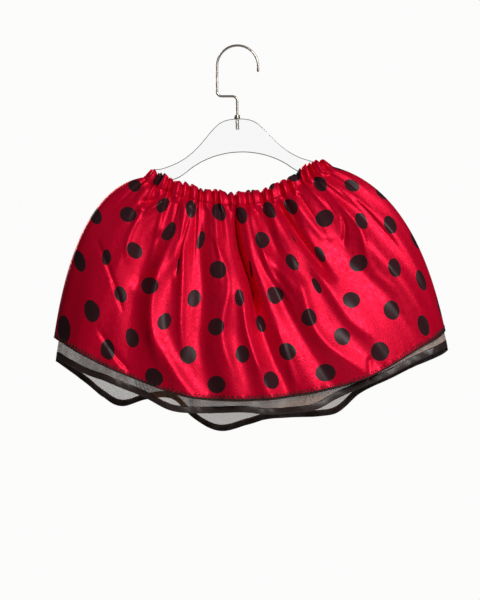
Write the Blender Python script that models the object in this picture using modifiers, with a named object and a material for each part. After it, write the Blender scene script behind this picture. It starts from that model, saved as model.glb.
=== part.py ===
# A child's gathered satin skirt with a net underskirt, on the clear hanger that holds it.
# Metres, +Z up, +X to the viewer's right, -Y towards the viewer. The origin is the point
# inside the top of the hook that rests on a rail. Sizes below are in millimetres.

import math

import bmesh
import bpy
import numpy as np
from mathutils import Matrix, Vector

MM = 0.001


def table(columns, rows):
    """One array for each named column."""
    return dict(zip(columns.split(), np.array(rows, float).T))


# Cloth sizes
CLOTH_LENGTH = 320.0      # flat length of the satin from the waist's top edge to the hem
CASING_HEIGHT = 20.0      # elastic casing, top edge to stitch line
CASING_WALL = 2.0
SATIN_WALL = 1.2
NET_WALL = 1.0
RIBBON_WALL = 1.0
RIBBON_WIDTH = 10.0
SEAM_GAP = 0.3
STITCH_FALL = CASING_HEIGHT / CLOTH_LENGTH

# How the front hangs, seen from the front. The share runs along the flat cloth from the
# left side seam to the right one. Each row follows one line of warp threads, from the
# casing's top edge to its stitch line, and from there to the hem.
HANG = table("share top_x top_z stitch_x stitch_z hem_x hem_z", (
    (0.000, -130.0, -184.0, -141.0, -196.0, -275.0, -435.0),
    (0.090, -119.0, -188.5, -131.0, -207.5, -224.5, -463.0),
    (0.212, -98.0, -199.0, -103.5, -219.5, -167.0, -489.5),
    (0.333, -62.0, -211.0, -64.0, -231.5, -78.5, -520.0),
    (0.455, -23.0, -218.0, -22.0, -238.5, 11.0, -525.5),
    (0.576, 16.0, -218.0, 18.5, -238.0, 86.0, -519.0),
    (0.697, 56.0, -208.0, 61.5, -227.5, 182.0, -497.5),
    (0.818, 97.0, -182.5, 105.0, -201.5, 265.0, -454.0),
    (0.939, 118.0, -172.5, 127.5, -186.5, 304.0, -431.5),
    (1.000, 134.4, -172.8, 144.0, -180.3, 311.0, -425.0),
))
# Below the casing the lines bow outwards and up near the side seams: reach in share, a
# power for how fast that fades, then x and z of the bow
LEFT_BOW = (0.28, 1.6, -34.0, 103.0)
RIGHT_BOW = (0.34, 1.5, 39.8, 90.0)
BACK_LOWER = 8.0          # the back hem hangs lower in the middle than the front hem

# Depth of the hollow skirt before its folds, at the waist and at the hem
WAIST_DEPTH = 10.0
FRONT_DEPTH = 68.0
BACK_DEPTH = 46.0
DEPTH_EASE = 1.6
HEM_ROUNDNESS = 2.3       # power of the section's rounded outline at the hem
WAIST_SQUARENESS = 3.7    # added to that power at the waist, fading down the cloth
SQUARENESS_FADE = 0.10
SIDE_FADE = 0.05          # share beside each side seam where folds flatten
SIDE_MITRE = 0.8          # more room at the ends of the stitch line, where the cloth turns
MITRE_REACH = 0.16        # share that this room takes to fade

# Folds that hang from the gathers. A fold's place is its share at five heights of the
# cloth, its height is outwards in mm at three of them, and its width is in share.
FOLD_STATIONS = (0.10, 0.30, 0.50, 0.70, 1.00)
HEIGHT_STATIONS = (0.10, 0.50, 1.00)
FOLDS = table("at_10 at_30 at_50 at_70 at_100 high_10 high_50 high_100 width", (
    (0.100, 0.088, 0.078, 0.068, 0.060, 2.5, 8.0, 9.0, 0.026),
    (0.195, 0.142, 0.123, 0.108, 0.090, 4.0, 9.0, 6.5, 0.028),
    (0.235, 0.182, 0.188, 0.203, 0.235, -2.0, -8.0, -8.0, 0.034),
    (0.300, 0.285, 0.243, 0.248, 0.345, 4.5, 10.5, 10.5, 0.026),
    (0.335, 0.308, 0.312, 0.315, 0.320, 2.5, 6.5, 0.0, 0.020),
    (0.365, 0.360, 0.368, 0.365, 0.395, -2.5, -6.5, -5.0, 0.022),
    (0.402, 0.418, 0.430, 0.413, 0.435, 5.0, 13.0, 10.5, 0.034),
    (0.492, 0.496, 0.522, 0.530, 0.565, -5.0, -10.5, -6.5, 0.022),
    (0.528, 0.540, 0.560, 0.580, 0.610, 5.0, 4.0, 0.0, 0.020),
    (0.470, 0.470, 0.482, 0.484, 0.512, 0.0, 8.0, 9.0, 0.024),
    (0.563, 0.587, 0.640, 0.648, 0.712, 5.0, 11.5, 10.5, 0.026),
    (0.650, 0.665, 0.668, 0.690, 0.712, 5.0, 5.0, 0.0, 0.022),
    (0.600, 0.615, 0.600, 0.620, 0.650, -2.5, -6.5, -5.0, 0.022),
    (0.700, 0.692, 0.708, 0.732, 0.760, -2.5, 9.0, 9.0, 0.024),
    (0.790, 0.838, 0.840, 0.866, 0.900, 5.0, 11.5, 10.5, 0.028),
    (0.745, 0.770, 0.780, 0.800, 0.830, 4.0, -6.5, -8.0, 0.026),
    (0.880, 0.908, 0.935, 0.948, 0.958, 4.0, 8.0, 6.5, 0.022),
))
BACK_FOLD_SCALE = 0.8     # the back has like folds in the other order, a little flatter

# Gathers: small waves all along the casing, and every second one runs on down the satin
CASING_GATHERS = 28
SATIN_GATHERS = 14
GATHER_HEIGHT = 2.2
GATHER_FADE = 0.30        # share of the cloth's length where the gathers have gone
FRILL_HEIGHT = 1.5        # the waist's top edge goes up and down with the gathers
CASING_BULGE = 1.2

# Net underskirt: it starts inside the seam under the casing and shows below the hem. Its
# drop is how far the middle of its ribbon hangs below the front hem, front and back.
NET_INSET = 0.022        # share that the net is narrower than the satin at each seam, top
NET_INSET_HEM = 0.012     # and hem
NET_CLEAR_TOP = 3.7       # inwards from the satin's plain section at the seam
NET_CLEAR = 18.0          # and where the folds hang free
NET_WAVES = 7
NET_WAVE_HEIGHT = 4.0
NET_DROP = table("share front back", (
    (0.000, 22.0, 28.0),
    (0.088, 21.0, 35.0),
    (0.145, 17.0, 41.0),
    (0.212, 16.5, 40.0),
    (0.255, 17.0, 17.0),
    (0.305, 22.5, 4.0),
    (0.345, 20.0, 24.0),
    (0.392, 17.0, 40.0),
    (0.455, 15.6, 31.0),
    (0.495, 19.5, 24.0),
    (0.560, 22.0, 25.0),
    (0.615, 21.5, 31.0),
    (0.640, 15.0, 32.0),
    (0.695, 7.0, 13.0),
    (0.770, 9.6, 13.0),
    (0.880, 14.0, 20.0),
    (1.000, 18.0, 24.0),
))

# Grid columns and rows of each piece
CASING_GRID = (120, 3)
SATIN_GRID = (78, 9)
NET_GRID = (46, 6)
SEAM_STEP = 0.00004       # share of the column that squares the cloth up to its side seam
COLUMN_EASE = 0.3         # how much closer the columns stand near the side seams

# Hanger: a clear plate with a blind hole, a turned collar and stud, and a wire hook
PLATE_THICK = 8.0
PLATE_EDGE = 0.8
PLATE_TOP = -108.3        # height of the plate's top middle
HANGER_X = -0.6           # place of the collar beside the middle of the hook
HANGER_TILT = 2.4         # degrees that the plate hangs low on the left
PLATE_HALF = (            # right half of the outline from the top middle, x and z
    (12.0, -0.7), (25.0, -4.8), (37.0, -14.4), (51.0, -29.8), (66.5, -45.3),
    (85.5, -58.6), (104.5, -66.6), (118.0, -70.4), (129.4, -71.9), (135.0, -77.5),
    (129.4, -83.1), (118.0, -85.8), (105.0, -87.6), (93.0, -85.2), (81.0, -78.4),
    (69.0, -69.8), (48.0, -59.2), (25.0, -52.6),
)
PLATE_ARCH = -50.2        # underside of the plate in the middle
STUD_RADIUS = 2.35
STUD_LENGTH = 16.0
COLLAR_RADIUS = 4.5
COLLAR_HEIGHT = 5.4
SOCKET_DEPTH = 3.0
WIRE_RADIUS = 1.75
FIT_GAP = 0.3
HOOK_RADIUS = 30.75       # middle of the wire in the half circle
HOOK_TIP_DROP = 9.0       # straight end below the half circle
SHANK_LEVEL = -74.5       # height where the wire runs sideways
BEND_RADIUS = 7.0

SKIRT_COLLECTION = "tutu_skirt_on_hanger"
CUTTER_COLLECTION = "cutters"


def clear_scene():
    for obj in list(bpy.data.objects):
        bpy.data.objects.remove(obj, do_unlink=True)


def new_collection(name):
    collection = bpy.data.collections.new(name)
    bpy.context.scene.collection.children.link(collection)
    return collection


def make_material(name, colour, roughness, metallic=0.0, alpha=1.0):
    """A plain Principled finish."""
    material = bpy.data.materials.new(name)
    material.use_nodes = True
    shader = material.node_tree.nodes["Principled BSDF"]
    shader.inputs["Base Color"].default_value = (*colour, 1.0)
    shader.inputs["Roughness"].default_value = roughness
    shader.inputs["Metallic"].default_value = metallic
    shader.inputs["Alpha"].default_value = alpha
    material.diffuse_color = (*colour, alpha)
    return material


def smooth(low, high, value):
    """A soft step from 0 to 1."""
    u = np.clip((value - low) / (high - low), 0.0, 1.0)
    return u * u * (3.0 - 2.0 * u)


def curve_through(value, xs, ys):
    """A smooth curve through the points of a table."""
    xs = np.asarray(xs, float)
    ys = np.asarray(ys, float)
    i = np.clip(np.searchsorted(xs, value) - 1, 0, len(xs) - 2)
    step = xs[i + 1] - xs[i]
    u = np.clip((value - xs[i]) / step, 0.0, 1.0)
    slope = np.gradient(ys, xs)
    start = (2 * u**3 - 3 * u**2 + 1) * ys[i] + (u**3 - 2 * u**2 + u) * step * slope[i]
    end = (3 * u**2 - 2 * u**3) * ys[i + 1] + (u**3 - u**2) * step * slope[i + 1]
    return start + end


def bow(share, down):
    """Pull of the side seams on the middle of a line of threads, x and z."""
    left = np.clip(1.0 - share / LEFT_BOW[0], 0.0, 1.0) ** LEFT_BOW[1]
    right = np.clip(1.0 - (1.0 - share) / RIGHT_BOW[0], 0.0, 1.0) ** RIGHT_BOW[1]
    pull = 2.0 * down * (1.0 - down)
    return (
        pull * (left * LEFT_BOW[2] + right * RIGHT_BOW[2]),
        pull * (left * LEFT_BOW[3] + right * RIGHT_BOW[3]),
    )


def hang_point(share, fall):
    """X and Z of a point of the cloth: share across it, fall from waist (0) to hem (1)."""
    place = {name: curve_through(share, HANG["share"], HANG[name]) for name in HANG}
    in_casing = np.minimum(fall / STITCH_FALL, 1.0)
    down = np.maximum(fall - STITCH_FALL, 0.0) / (1.0 - STITCH_FALL)
    bow_x, bow_z = bow(share, down)
    x = place["top_x"] + (place["stitch_x"] - place["top_x"]) * in_casing
    z = place["top_z"] + (place["stitch_z"] - place["top_z"]) * in_casing
    x = x + (place["hem_x"] - place["stitch_x"]) * down + bow_x
    z = z + (place["hem_z"] - place["stitch_z"]) * down + bow_z
    return x, z


def line_length(share):
    """Length in mm of one whole fall, measured at the hem end of the line."""
    x_a, z_a = hang_point(share, 0.98)
    x_b, z_b = hang_point(share, 1.0)
    return np.hypot(x_b - x_a, z_b - z_a) / 0.02


def roundness(share, fall, inset=0.0):
    """Share of the full depth: 1 in the middle of the section, 0 at the two side seams."""
    x, _ = hang_point(share, fall)
    left = hang_point(inset, fall)[0]
    right = hang_point(1.0 - inset, fall)[0]
    across = np.clip(2.0 * (x - left) / (right - left) - 1.0, -1.0, 1.0)
    power = HEM_ROUNDNESS + WAIST_SQUARENESS * np.exp(-fall / SQUARENESS_FADE)
    return (1.0 - np.abs(across) ** power) ** (1.0 / power)


def skirt_depth(fall, side):
    """Half depth of the skirt before its folds."""
    hem_depth = FRONT_DEPTH if side < 0 else BACK_DEPTH
    eased = 1.0 - (1.0 - np.clip(fall, 0.0, 1.0)) ** DEPTH_EASE
    return WAIST_DEPTH + (hem_depth - WAIST_DEPTH) * eased


def side_fade(share):
    return smooth(0.0, SIDE_FADE, share) * smooth(0.0, SIDE_FADE, 1.0 - share)


def gathers(share, count):
    """Waves of uneven width, count of them from seam to seam."""
    turns = count * share + 0.20 * np.sin(14.5 * share + 1.0) + 0.08 * np.sin(32.0 * share)
    return np.cos(2.0 * math.pi * turns)


def folds(share, fall):
    """Height of the hanging folds, in mm outwards."""
    height = np.zeros_like(share)
    for i in range(len(FOLDS["width"])):
        places = [FOLDS[name][i] for name in ("at_10", "at_30", "at_50", "at_70", "at_100")]
        heights = [FOLDS[name][i] for name in ("high_10", "high_50", "high_100")]
        place = curve_through(fall, FOLD_STATIONS, places)
        high = np.interp(fall, HEIGHT_STATIONS, heights)
        height += high * np.exp(-(((share - place) / FOLDS["width"][i]) ** 2))
    return height


def lower_back(share, fall, side):
    return np.where(side > 0, BACK_LOWER * np.sin(math.pi * share) * fall, 0.0)


def satin_fall(share, down):
    """Fall of a satin point: down is 0 below the stitch line and 1 at the hem."""
    turned = 1.0 - smooth(0.0, MITRE_REACH, share) * smooth(0.0, MITRE_REACH, 1.0 - share)
    room = SEAM_GAP + SIDE_MITRE * turned
    start = STITCH_FALL + room / CLOTH_LENGTH
    return start + (1.0 - start) * down


def fold_drape(share, fall, side):
    """Height of the hanging folds on the front or the back."""
    if side < 0:
        drape = folds(share, fall)
    else:
        drape = BACK_FOLD_SCALE * folds(1.0 - share, fall)
    return drape * smooth(0.0, 0.12, fall)


def satin_point(share, down, side):
    """Middle of the satin's wall. The side is -1 for the front and 1 for the back."""
    fall = satin_fall(share, down)
    x, z = hang_point(share, fall)
    gather_height = GATHER_HEIGHT * (1.0 - smooth(STITCH_FALL, GATHER_FADE, fall))
    drape = fold_drape(share, fall, side) + gather_height * gathers(share, SATIN_GATHERS)
    depth = skirt_depth(fall, side) + side_fade(share) * drape
    y = side * (depth * roundness(share, fall) + SEAM_GAP / 2)
    return x, y, z - lower_back(share, fall, side)


def casing_point(share, fall, side):
    """Middle of the casing's wall, from the frilled top edge to the stitch line."""
    x, z = hang_point(share, fall)
    down = fall / STITCH_FALL
    waves = gathers(share, CASING_GATHERS)
    bulge = CASING_BULGE * np.sin(math.pi * np.clip(down, 0.0, 1.0))
    fade = side_fade(share)
    depth = skirt_depth(fall, side) + fade * (GATHER_HEIGHT * waves + bulge)
    y = side * (depth * roundness(share, fall) + SEAM_GAP / 2)
    frill = fade * FRILL_HEIGHT * (1.0 - down) * (waves + 0.4 * np.sin(47.0 * share))
    return x, y, z + frill - lower_back(share, fall, side)


def net_fall(share, down, side):
    """Fall of a net point: down is 0 at the seam, 1 at the ribbon and 2 at the net's edge."""
    drop = curve_through(share, NET_DROP["share"], NET_DROP["front" if side < 0 else "back"])
    length = line_length(share)
    start = satin_fall(share, 0.0)
    ribbon_top = 1.0 + (drop - RIBBON_WIDTH / 2) / length
    edge = 1.0 + (drop + RIBBON_WIDTH / 2) / length
    above = start + (ribbon_top - start) * np.clip(down, 0.0, 1.0)
    return above + (edge - ribbon_top) * np.clip(down - 1.0, 0.0, 1.0)


def net_point(share, down, side):
    """Middle of the net's wall: close inside the satin at the seam, then clear of its folds."""
    fall = net_fall(share, down, side)
    inset = NET_INSET + (NET_INSET_HEM - NET_INSET) * np.clip(fall, 0.0, 1.0)
    inner = inset + (1.0 - 2.0 * inset) * share
    x, z = hang_point(inner, fall)
    freed = smooth(STITCH_FALL, 0.35, fall)
    clear = NET_CLEAR_TOP + (NET_CLEAR - NET_CLEAR_TOP) * freed
    hugging = (1.0 - freed) * fold_drape(inner, fall, side)
    waves = NET_WAVE_HEIGHT * freed * np.sin(2.0 * math.pi * NET_WAVES * share + 0.6)
    depth = skirt_depth(fall, side) - clear + side_fade(share) * (hugging + waves)
    y = side * (depth * roundness(inner, np.minimum(fall, 1.0), inset) + SEAM_GAP / 2)
    return x, y, z - lower_back(share, np.minimum(fall, 1.0), side)


def column_share(column, columns):
    """Share of a grid column, with one column close to each side seam."""
    even = (column - 1.0) / (columns - 2.0)
    eased = even - COLUMN_EASE * np.sin(2.0 * math.pi * even) / (2.0 * math.pi)
    inner = np.clip(eased, SEAM_STEP, 1.0 - SEAM_STEP)
    return np.where(column < 0.5, 0.0, np.where(column > columns - 0.5, 1.0, inner))


def cloth_sheet(name, grid, point, side, rows, collection):
    """An open grid laid on a surface. The rows run between two values of the surface's own."""
    columns, row_count = grid
    mesh = bpy.data.meshes.new(name)
    obj = bpy.data.objects.new(name, mesh)
    collection.objects.link(obj)
    bm = bmesh.new()
    bmesh.ops.create_grid(bm, x_segments=columns, y_segments=row_count, size=0.5)
    column = np.array([round((v.co.x + 0.5) * columns) for v in bm.verts], float)
    row = np.array([0.5 - v.co.y for v in bm.verts])
    down = rows[0] + (rows[1] - rows[0]) * row
    x, y, z = point(column_share(column, columns), down, side)
    for i, vert in enumerate(bm.verts):
        vert.co = (x[i] * MM, y[i] * MM, z[i] * MM)
    if side > 0:
        bmesh.ops.reverse_faces(bm, faces=bm.faces)
    bm.to_mesh(mesh)
    bm.free()
    return obj


def give_wall(obj, thickness, material):
    """Cloth thickness on both sides of the sheet."""
    wall = obj.modifiers.new("wall", "SOLIDIFY")
    wall.thickness = thickness * MM
    wall.offset = 0.0
    obj.data.materials.append(material)
    obj.data.shade_smooth()


def move_out(obj, distance):
    """Move a sheet's points outwards along their normals, to lie on the panel below it."""
    shift = [Vector(v.normal) * distance * MM for v in obj.data.vertices]
    for vert, step in zip(obj.data.vertices, shift):
        vert.co = vert.co + step


def build_casing(name, side, material, collection):
    rows = (0.0, (CASING_HEIGHT - SEAM_GAP / 2) / CLOTH_LENGTH)
    obj = cloth_sheet(name, CASING_GRID, casing_point, side, rows, collection)
    give_wall(obj, CASING_WALL, material)


def build_satin(name, side, material, collection):
    obj = cloth_sheet(name, SATIN_GRID, satin_point, side, (0.0, 1.0), collection)
    give_wall(obj, SATIN_WALL, material)


def build_net(name, side, material, collection):
    obj = cloth_sheet(name, NET_GRID, net_point, side, (0.0, 2.0), collection)
    give_wall(obj, NET_WALL, material)


def build_ribbon(name, side, material, collection):
    obj = cloth_sheet(name, (NET_GRID[0], 1), net_point, side, (1.0, 2.0), collection)
    move_out(obj, NET_WALL / 2 + SEAM_GAP + RIBBON_WALL / 2)
    give_wall(obj, RIBBON_WALL, material)


def turned_piece(name, profile, collection):
    """A profile of radius and height, turned about the vertical axis."""
    mesh = bpy.data.meshes.new(name)
    points = [(radius * MM, 0.0, height * MM) for radius, height in profile]
    mesh.from_pydata(points, [(i, i + 1) for i in range(len(points) - 1)], [])
    obj = bpy.data.objects.new(name, mesh)
    collection.objects.link(obj)
    screw = obj.modifiers.new("turn", "SCREW")
    screw.steps = 20
    screw.render_steps = 20
    screw.use_merge_vertices = True
    screw.merge_threshold = 0.00001
    return obj


def hanger_matrix():
    """The plate and its collar hang tilted about the collar's foot."""
    place = Matrix.Translation(Vector((HANGER_X, 0.0, PLATE_TOP)) * MM)
    return place @ Matrix.Rotation(math.radians(-HANGER_TILT), 4, "Y")


def build_plate(material, collection, cutters):
    """The clear plate: a mirrored outline, polished edges and a blind hole for the stud."""
    curve = bpy.data.curves.new("plate_outline", "CURVE")
    curve.dimensions = "2D"
    curve.fill_mode = "BOTH"
    curve.extrude = PLATE_THICK / 2 * MM
    curve.resolution_u = 2
    right = list(PLATE_HALF)
    left = [(-x, z) for x, z in reversed(right)]
    outline = [(0.0, 0.0)] + right + [(0.0, PLATE_ARCH)] + left
    spline = curve.splines.new("BEZIER")
    spline.bezier_points.add(len(outline) - 1)
    for knot, (x, z) in zip(spline.bezier_points, outline):
        knot.co = (x * MM, z * MM, 0.0)
        knot.handle_left_type = "AUTO"
        knot.handle_right_type = "AUTO"
    spline.use_cyclic_u = True
    guide = bpy.data.objects.new("plate_outline", curve)
    collection.objects.link(guide)
    bpy.context.view_layer.update()
    graph = bpy.context.evaluated_depsgraph_get()
    mesh = bpy.data.meshes.new_from_object(guide.evaluated_get(graph))
    bpy.data.objects.remove(guide, do_unlink=True)
    bm = bmesh.new()
    bm.from_mesh(mesh)
    bmesh.ops.remove_doubles(bm, verts=bm.verts, dist=0.00001)
    bmesh.ops.rotate(bm, verts=bm.verts, matrix=Matrix.Rotation(math.pi / 2, 3, "X"))
    bmesh.ops.recalc_face_normals(bm, faces=bm.faces)
    bm.to_mesh(mesh)
    bm.free()
    plate = bpy.data.objects.new("hanger_plate", mesh)
    collection.objects.link(plate)
    plate.matrix_world = hanger_matrix()
    edge = plate.modifiers.new("polished_edge", "BEVEL")
    edge.width = PLATE_EDGE * MM
    edge.segments = 2
    edge.limit_method = "ANGLE"
    edge.angle_limit = math.radians(50)
    depth = STUD_LENGTH + FIT_GAP
    hole = turned_piece("stud_hole", (
        (0.0, 5.0), (STUD_RADIUS + FIT_GAP, 5.0), (STUD_RADIUS + FIT_GAP, -depth), (0.0, -depth),
    ), cutters)
    hole.matrix_world = hanger_matrix()
    hole.hide_render = True
    hole.display_type = "WIRE"
    cut = plate.modifiers.new("stud_hole", "BOOLEAN")
    cut.operation = "DIFFERENCE"
    cut.object = hole
    plate.data.materials.append(material)


def build_collar(material, collection):
    """A collar on the plate, with the stud under it and a socket for the wire in its top."""
    socket = WIRE_RADIUS + FIT_GAP
    obj = turned_piece("hanger_collar", (
        (0.0, FIT_GAP + COLLAR_HEIGHT - SOCKET_DEPTH),
        (socket, FIT_GAP + COLLAR_HEIGHT - SOCKET_DEPTH),
        (socket, FIT_GAP + COLLAR_HEIGHT),
        (COLLAR_RADIUS - 0.6, FIT_GAP + COLLAR_HEIGHT),
        (COLLAR_RADIUS, FIT_GAP + COLLAR_HEIGHT - 0.6),
        (COLLAR_RADIUS, FIT_GAP + 0.6),
        (COLLAR_RADIUS - 0.6, FIT_GAP),
        (STUD_RADIUS, FIT_GAP),
        (STUD_RADIUS, 1.0 - STUD_LENGTH),
        (STUD_RADIUS - 1.0, -STUD_LENGTH),
        (0.0, -STUD_LENGTH),
    ), collection)
    obj.matrix_world = hanger_matrix()
    obj.data.materials.append(material)


def arc_points(centre, radius, start, end, steps):
    """Points of an arc in the XZ plane, angles in degrees from +X towards +Z."""
    angles = [math.radians(start + (end - start) * i / steps) for i in range(steps + 1)]
    return [(centre[0] + radius * math.cos(a), centre[1] + radius * math.sin(a)) for a in angles]


def build_hook(material, collection):
    """The wire: up from the collar, sideways, up again and over the rail."""
    foot = PLATE_TOP + FIT_GAP + COLLAR_HEIGHT - SOCKET_DEPTH + FIT_GAP
    top_centre = -(HOOK_RADIUS - WIRE_RADIUS)
    route = [(HANGER_X, foot)]
    route += arc_points((HANGER_X - BEND_RADIUS, SHANK_LEVEL - BEND_RADIUS), BEND_RADIUS, 0, 90, 6)
    route += arc_points((BEND_RADIUS - HOOK_RADIUS, SHANK_LEVEL + BEND_RADIUS), BEND_RADIUS, 270, 180, 6)
    route += arc_points((0.0, top_centre), HOOK_RADIUS, 180, 0, 26)
    route += [(HOOK_RADIUS, top_centre - HOOK_TIP_DROP)]
    curve = bpy.data.curves.new("hanger_hook", "CURVE")
    curve.dimensions = "3D"
    curve.bevel_depth = WIRE_RADIUS * MM
    curve.bevel_resolution = 3
    curve.use_fill_caps = True
    spline = curve.splines.new("POLY")
    spline.points.add(len(route) - 1)
    for point, (x, z) in zip(spline.points, route):
        point.co = (x * MM, 0.0, z * MM, 1.0)
    obj = bpy.data.objects.new("hanger_hook", curve)
    collection.objects.link(obj)
    curve.materials.append(material)


def main():
    clear_scene()
    skirt = new_collection(SKIRT_COLLECTION)
    cutters = new_collection(CUTTER_COLLECTION)
    red = make_material("red_satin", (0.72, 0.004, 0.03), 0.34)
    grey = make_material("grey_net", (0.16, 0.13, 0.13), 0.8, alpha=0.5)
    black = make_material("black_ribbon", (0.02, 0.014, 0.014), 0.45)
    clear = make_material("clear_acrylic", (0.85, 0.88, 0.88), 0.06, alpha=0.35)
    steel = make_material("bright_steel", (0.62, 0.59, 0.55), 0.25, metallic=1.0)
    for side, place in ((-1, "front"), (1, "back")):
        build_casing("casing_" + place, side, red.copy(), skirt)
        build_satin("satin_" + place, side, red.copy(), skirt)
        build_net("net_" + place, side, grey.copy(), skirt)
        build_ribbon("ribbon_" + place, side, black.copy(), skirt)
    build_plate(clear, skirt, cutters)
    build_collar(steel.copy(), skirt)
    build_hook(steel, skirt)


main()
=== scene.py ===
# %% [markdown]
# # A gathered satin skirt on a clear hanger
# The real thing is a child's skirt of red satin with black polka dots. It is gathered on an
# elastic waist, has a net underskirt edged with black ribbon, and hangs on a clear plate
# hanger with a wire hook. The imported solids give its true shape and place. This lesson
# dresses them: fine cloth on the same lines of threads, and a finish for each surface.

import math

import bpy
import numpy as np
from mathutils import Matrix, Vector, noise


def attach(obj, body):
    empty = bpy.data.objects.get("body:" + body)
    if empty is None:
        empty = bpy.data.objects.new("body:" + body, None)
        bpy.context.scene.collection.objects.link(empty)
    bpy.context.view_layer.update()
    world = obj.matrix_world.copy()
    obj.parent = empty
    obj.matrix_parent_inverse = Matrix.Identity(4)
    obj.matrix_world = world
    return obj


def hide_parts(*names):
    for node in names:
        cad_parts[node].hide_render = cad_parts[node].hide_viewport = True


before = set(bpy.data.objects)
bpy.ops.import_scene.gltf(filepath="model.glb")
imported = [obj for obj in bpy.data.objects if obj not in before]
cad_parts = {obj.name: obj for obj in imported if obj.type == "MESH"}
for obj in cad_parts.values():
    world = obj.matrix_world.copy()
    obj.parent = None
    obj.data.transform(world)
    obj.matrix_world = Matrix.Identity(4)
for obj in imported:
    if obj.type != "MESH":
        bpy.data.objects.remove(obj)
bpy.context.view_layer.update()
MM = 0.001
BODY = "root"
print("nodes:", ", ".join(sorted(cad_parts)))

# %% [markdown]
# ## Camera
# A hanging garment is seen best from far away, with a long lens, so that its middle and its
# sides have the same scale. The lens and the distance are chosen together: at three metres
# the picture is 0.9 m high, and each of its 600 pixels covers 1.5 mm of the object. The
# camera is level, and it looks along +Y.

# %% Make the camera
CAMERA_DISTANCE = 3.0
PICTURE_HEIGHT = 0.9
CAMERA_PLACE = (0.00375, -CAMERA_DISTANCE, -0.380)
SENSOR_MM = 36.0

bpy.ops.object.select_all(action="DESELECT")
bpy.ops.object.camera_add(location=CAMERA_PLACE, rotation=(math.radians(90), 0.0, 0.0))
camera = bpy.context.active_object
camera.name = "camera"
camera.data.sensor_fit = "VERTICAL"
camera.data.sensor_height = SENSOR_MM
camera.data.sensor_width = SENSOR_MM
camera.data.lens = SENSOR_MM * CAMERA_DISTANCE / PICTURE_HEIGHT
camera.data.clip_end = 50.0
bpy.context.scene.camera = camera
bpy.context.scene.view_settings.view_transform = "Standard"
print("lens", round(camera.data.lens, 1), "mm")

# %% [markdown]
# ## Light and floor
# A tall soft lamp stands at the right in front of the skirt, like a window, so the folds
# shine on their right slopes and fall dark on their left ones. A weak lamp on the left keeps
# those slopes from going black, and a third one lights the back. The world is white where the
# eye sees it, also straight through the hanger, and dark to the sides, because polished edges
# show only where they bend the view towards something darker. The floor is far below, as
# under a rail.

# %% Make the lamps
LOOK_AT = Vector((0.02, 0.0, -0.36))
ROOM_GREY = (0.05, 0.049, 0.049)
PAPER_WHITE = (0.97, 0.97, 0.965)


def add_lamp(name, place, width, height, watts, colour):
    """A soft lamp that faces the skirt, like a window."""
    bpy.ops.object.select_all(action="DESELECT")
    bpy.ops.object.light_add(type="AREA", location=place)
    lamp = bpy.context.active_object
    lamp.name = name
    lamp.data.shape = "RECTANGLE"
    lamp.data.size = width
    lamp.data.size_y = height
    lamp.data.energy = watts
    lamp.data.color = colour
    lamp.rotation_mode = "QUATERNION"
    lamp.rotation_quaternion = (LOOK_AT - Vector(place)).to_track_quat("-Z", "Y")


add_lamp("key_lamp", (1.1, -2.05, 0.7), 0.38, 1.0, 45.0, (1.0, 0.985, 0.97))
add_lamp("fill_lamp", (-1.7, -1.2, 0.9), 0.8, 0.8, 1.0, (0.97, 0.98, 1.0))
add_lamp("back_lamp", (-1.3, 1.9, 0.8), 0.45, 1.6, 34.0, (1.0, 1.0, 1.0))
print("three lamps")

# %% Node tools
NODE_STEP = 220
NODES_LEFT = 18           # places for nodes on the left of a tree's middle


def plug_in(tree, node, sockets):
    """Gives a node's inputs, by name or number, a link or a value of their own."""
    for name, value in sockets.items():
        if isinstance(value, bpy.types.NodeSocket):
            tree.links.new(value, node.inputs[name])
        else:
            node.inputs[name].default_value = value


def add_node(tree, kind, sockets=None, **settings):
    """A shader node, next in the row. Its settings come first, as they choose its inputs."""
    made = tree.nodes.new(kind)
    made.location = (NODE_STEP * (len(tree.nodes) - NODES_LEFT), -NODE_STEP)
    for name, value in settings.items():
        setattr(made, name, value)
    plug_in(tree, made, sockets or {})
    return made


def calculate(tree, operation, first, second=None):
    """The result of a Math node. Some operations have no second input."""
    sockets = {0: first} if second is None else {0: first, 1: second}
    return add_node(tree, "ShaderNodeMath", sockets, operation=operation).outputs[0]


def remap(tree, value, old_span, new_span, curve="LINEAR"):
    """A value taken from one span of numbers to another."""
    names = ("From Min", "From Max", "To Min", "To Max")
    sockets = {"Value": value, **dict(zip(names, (*old_span, *new_span)))}
    return add_node(tree, "ShaderNodeMapRange", sockets, interpolation_type=curve).outputs[0]


print("node tools ready")

# %% Make the world
SQUARE_VIEW = (0.80, 0.97)     # how far a view runs along Y, from the room's grey to white
THROUGH_WHITE = (0.80, 1.0)    # share of white in what shows through the plate
ALL = (0.0, 1.0)

world = bpy.data.worlds.new("studio")
world.use_nodes = True
bpy.context.scene.world = world
sky = world.node_tree
sky.nodes.clear()
direction = add_node(sky, "ShaderNodeTexCoord").outputs["Generated"]
parts = add_node(sky, "ShaderNodeSeparateXYZ", {0: direction})
along_y = calculate(sky, "ABSOLUTE", parts.outputs["Y"])
square = remap(sky, along_y, SQUARE_VIEW, ALL, "SMOOTHSTEP")
through_share = remap(sky, square, ALL, THROUGH_WHITE)
rays = add_node(sky, "ShaderNodeLightPath").outputs
through = calculate(sky, "MULTIPLY", through_share, rays["Is Transmission Ray"])
white_share = calculate(sky, "MAXIMUM", through, rays["Is Camera Ray"])
shade = add_node(sky, "ShaderNodeMix", {
    "Factor": white_share, "A": (*ROOM_GREY, 1.0), "B": (*PAPER_WHITE, 1.0),
}, data_type="RGBA")
background = add_node(sky, "ShaderNodeBackground", {"Color": shade.outputs["Result"]})
add_node(sky, "ShaderNodeOutputWorld", {"Surface": background.outputs[0]})
print("world nodes:", len(sky.nodes))

# %% Lay the floor
FLOOR_LEVEL = -1.60
FLOOR_RADIUS = 2.4
FLOOR_TINT = (0.86, 0.86, 0.85, 1.0)


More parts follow.
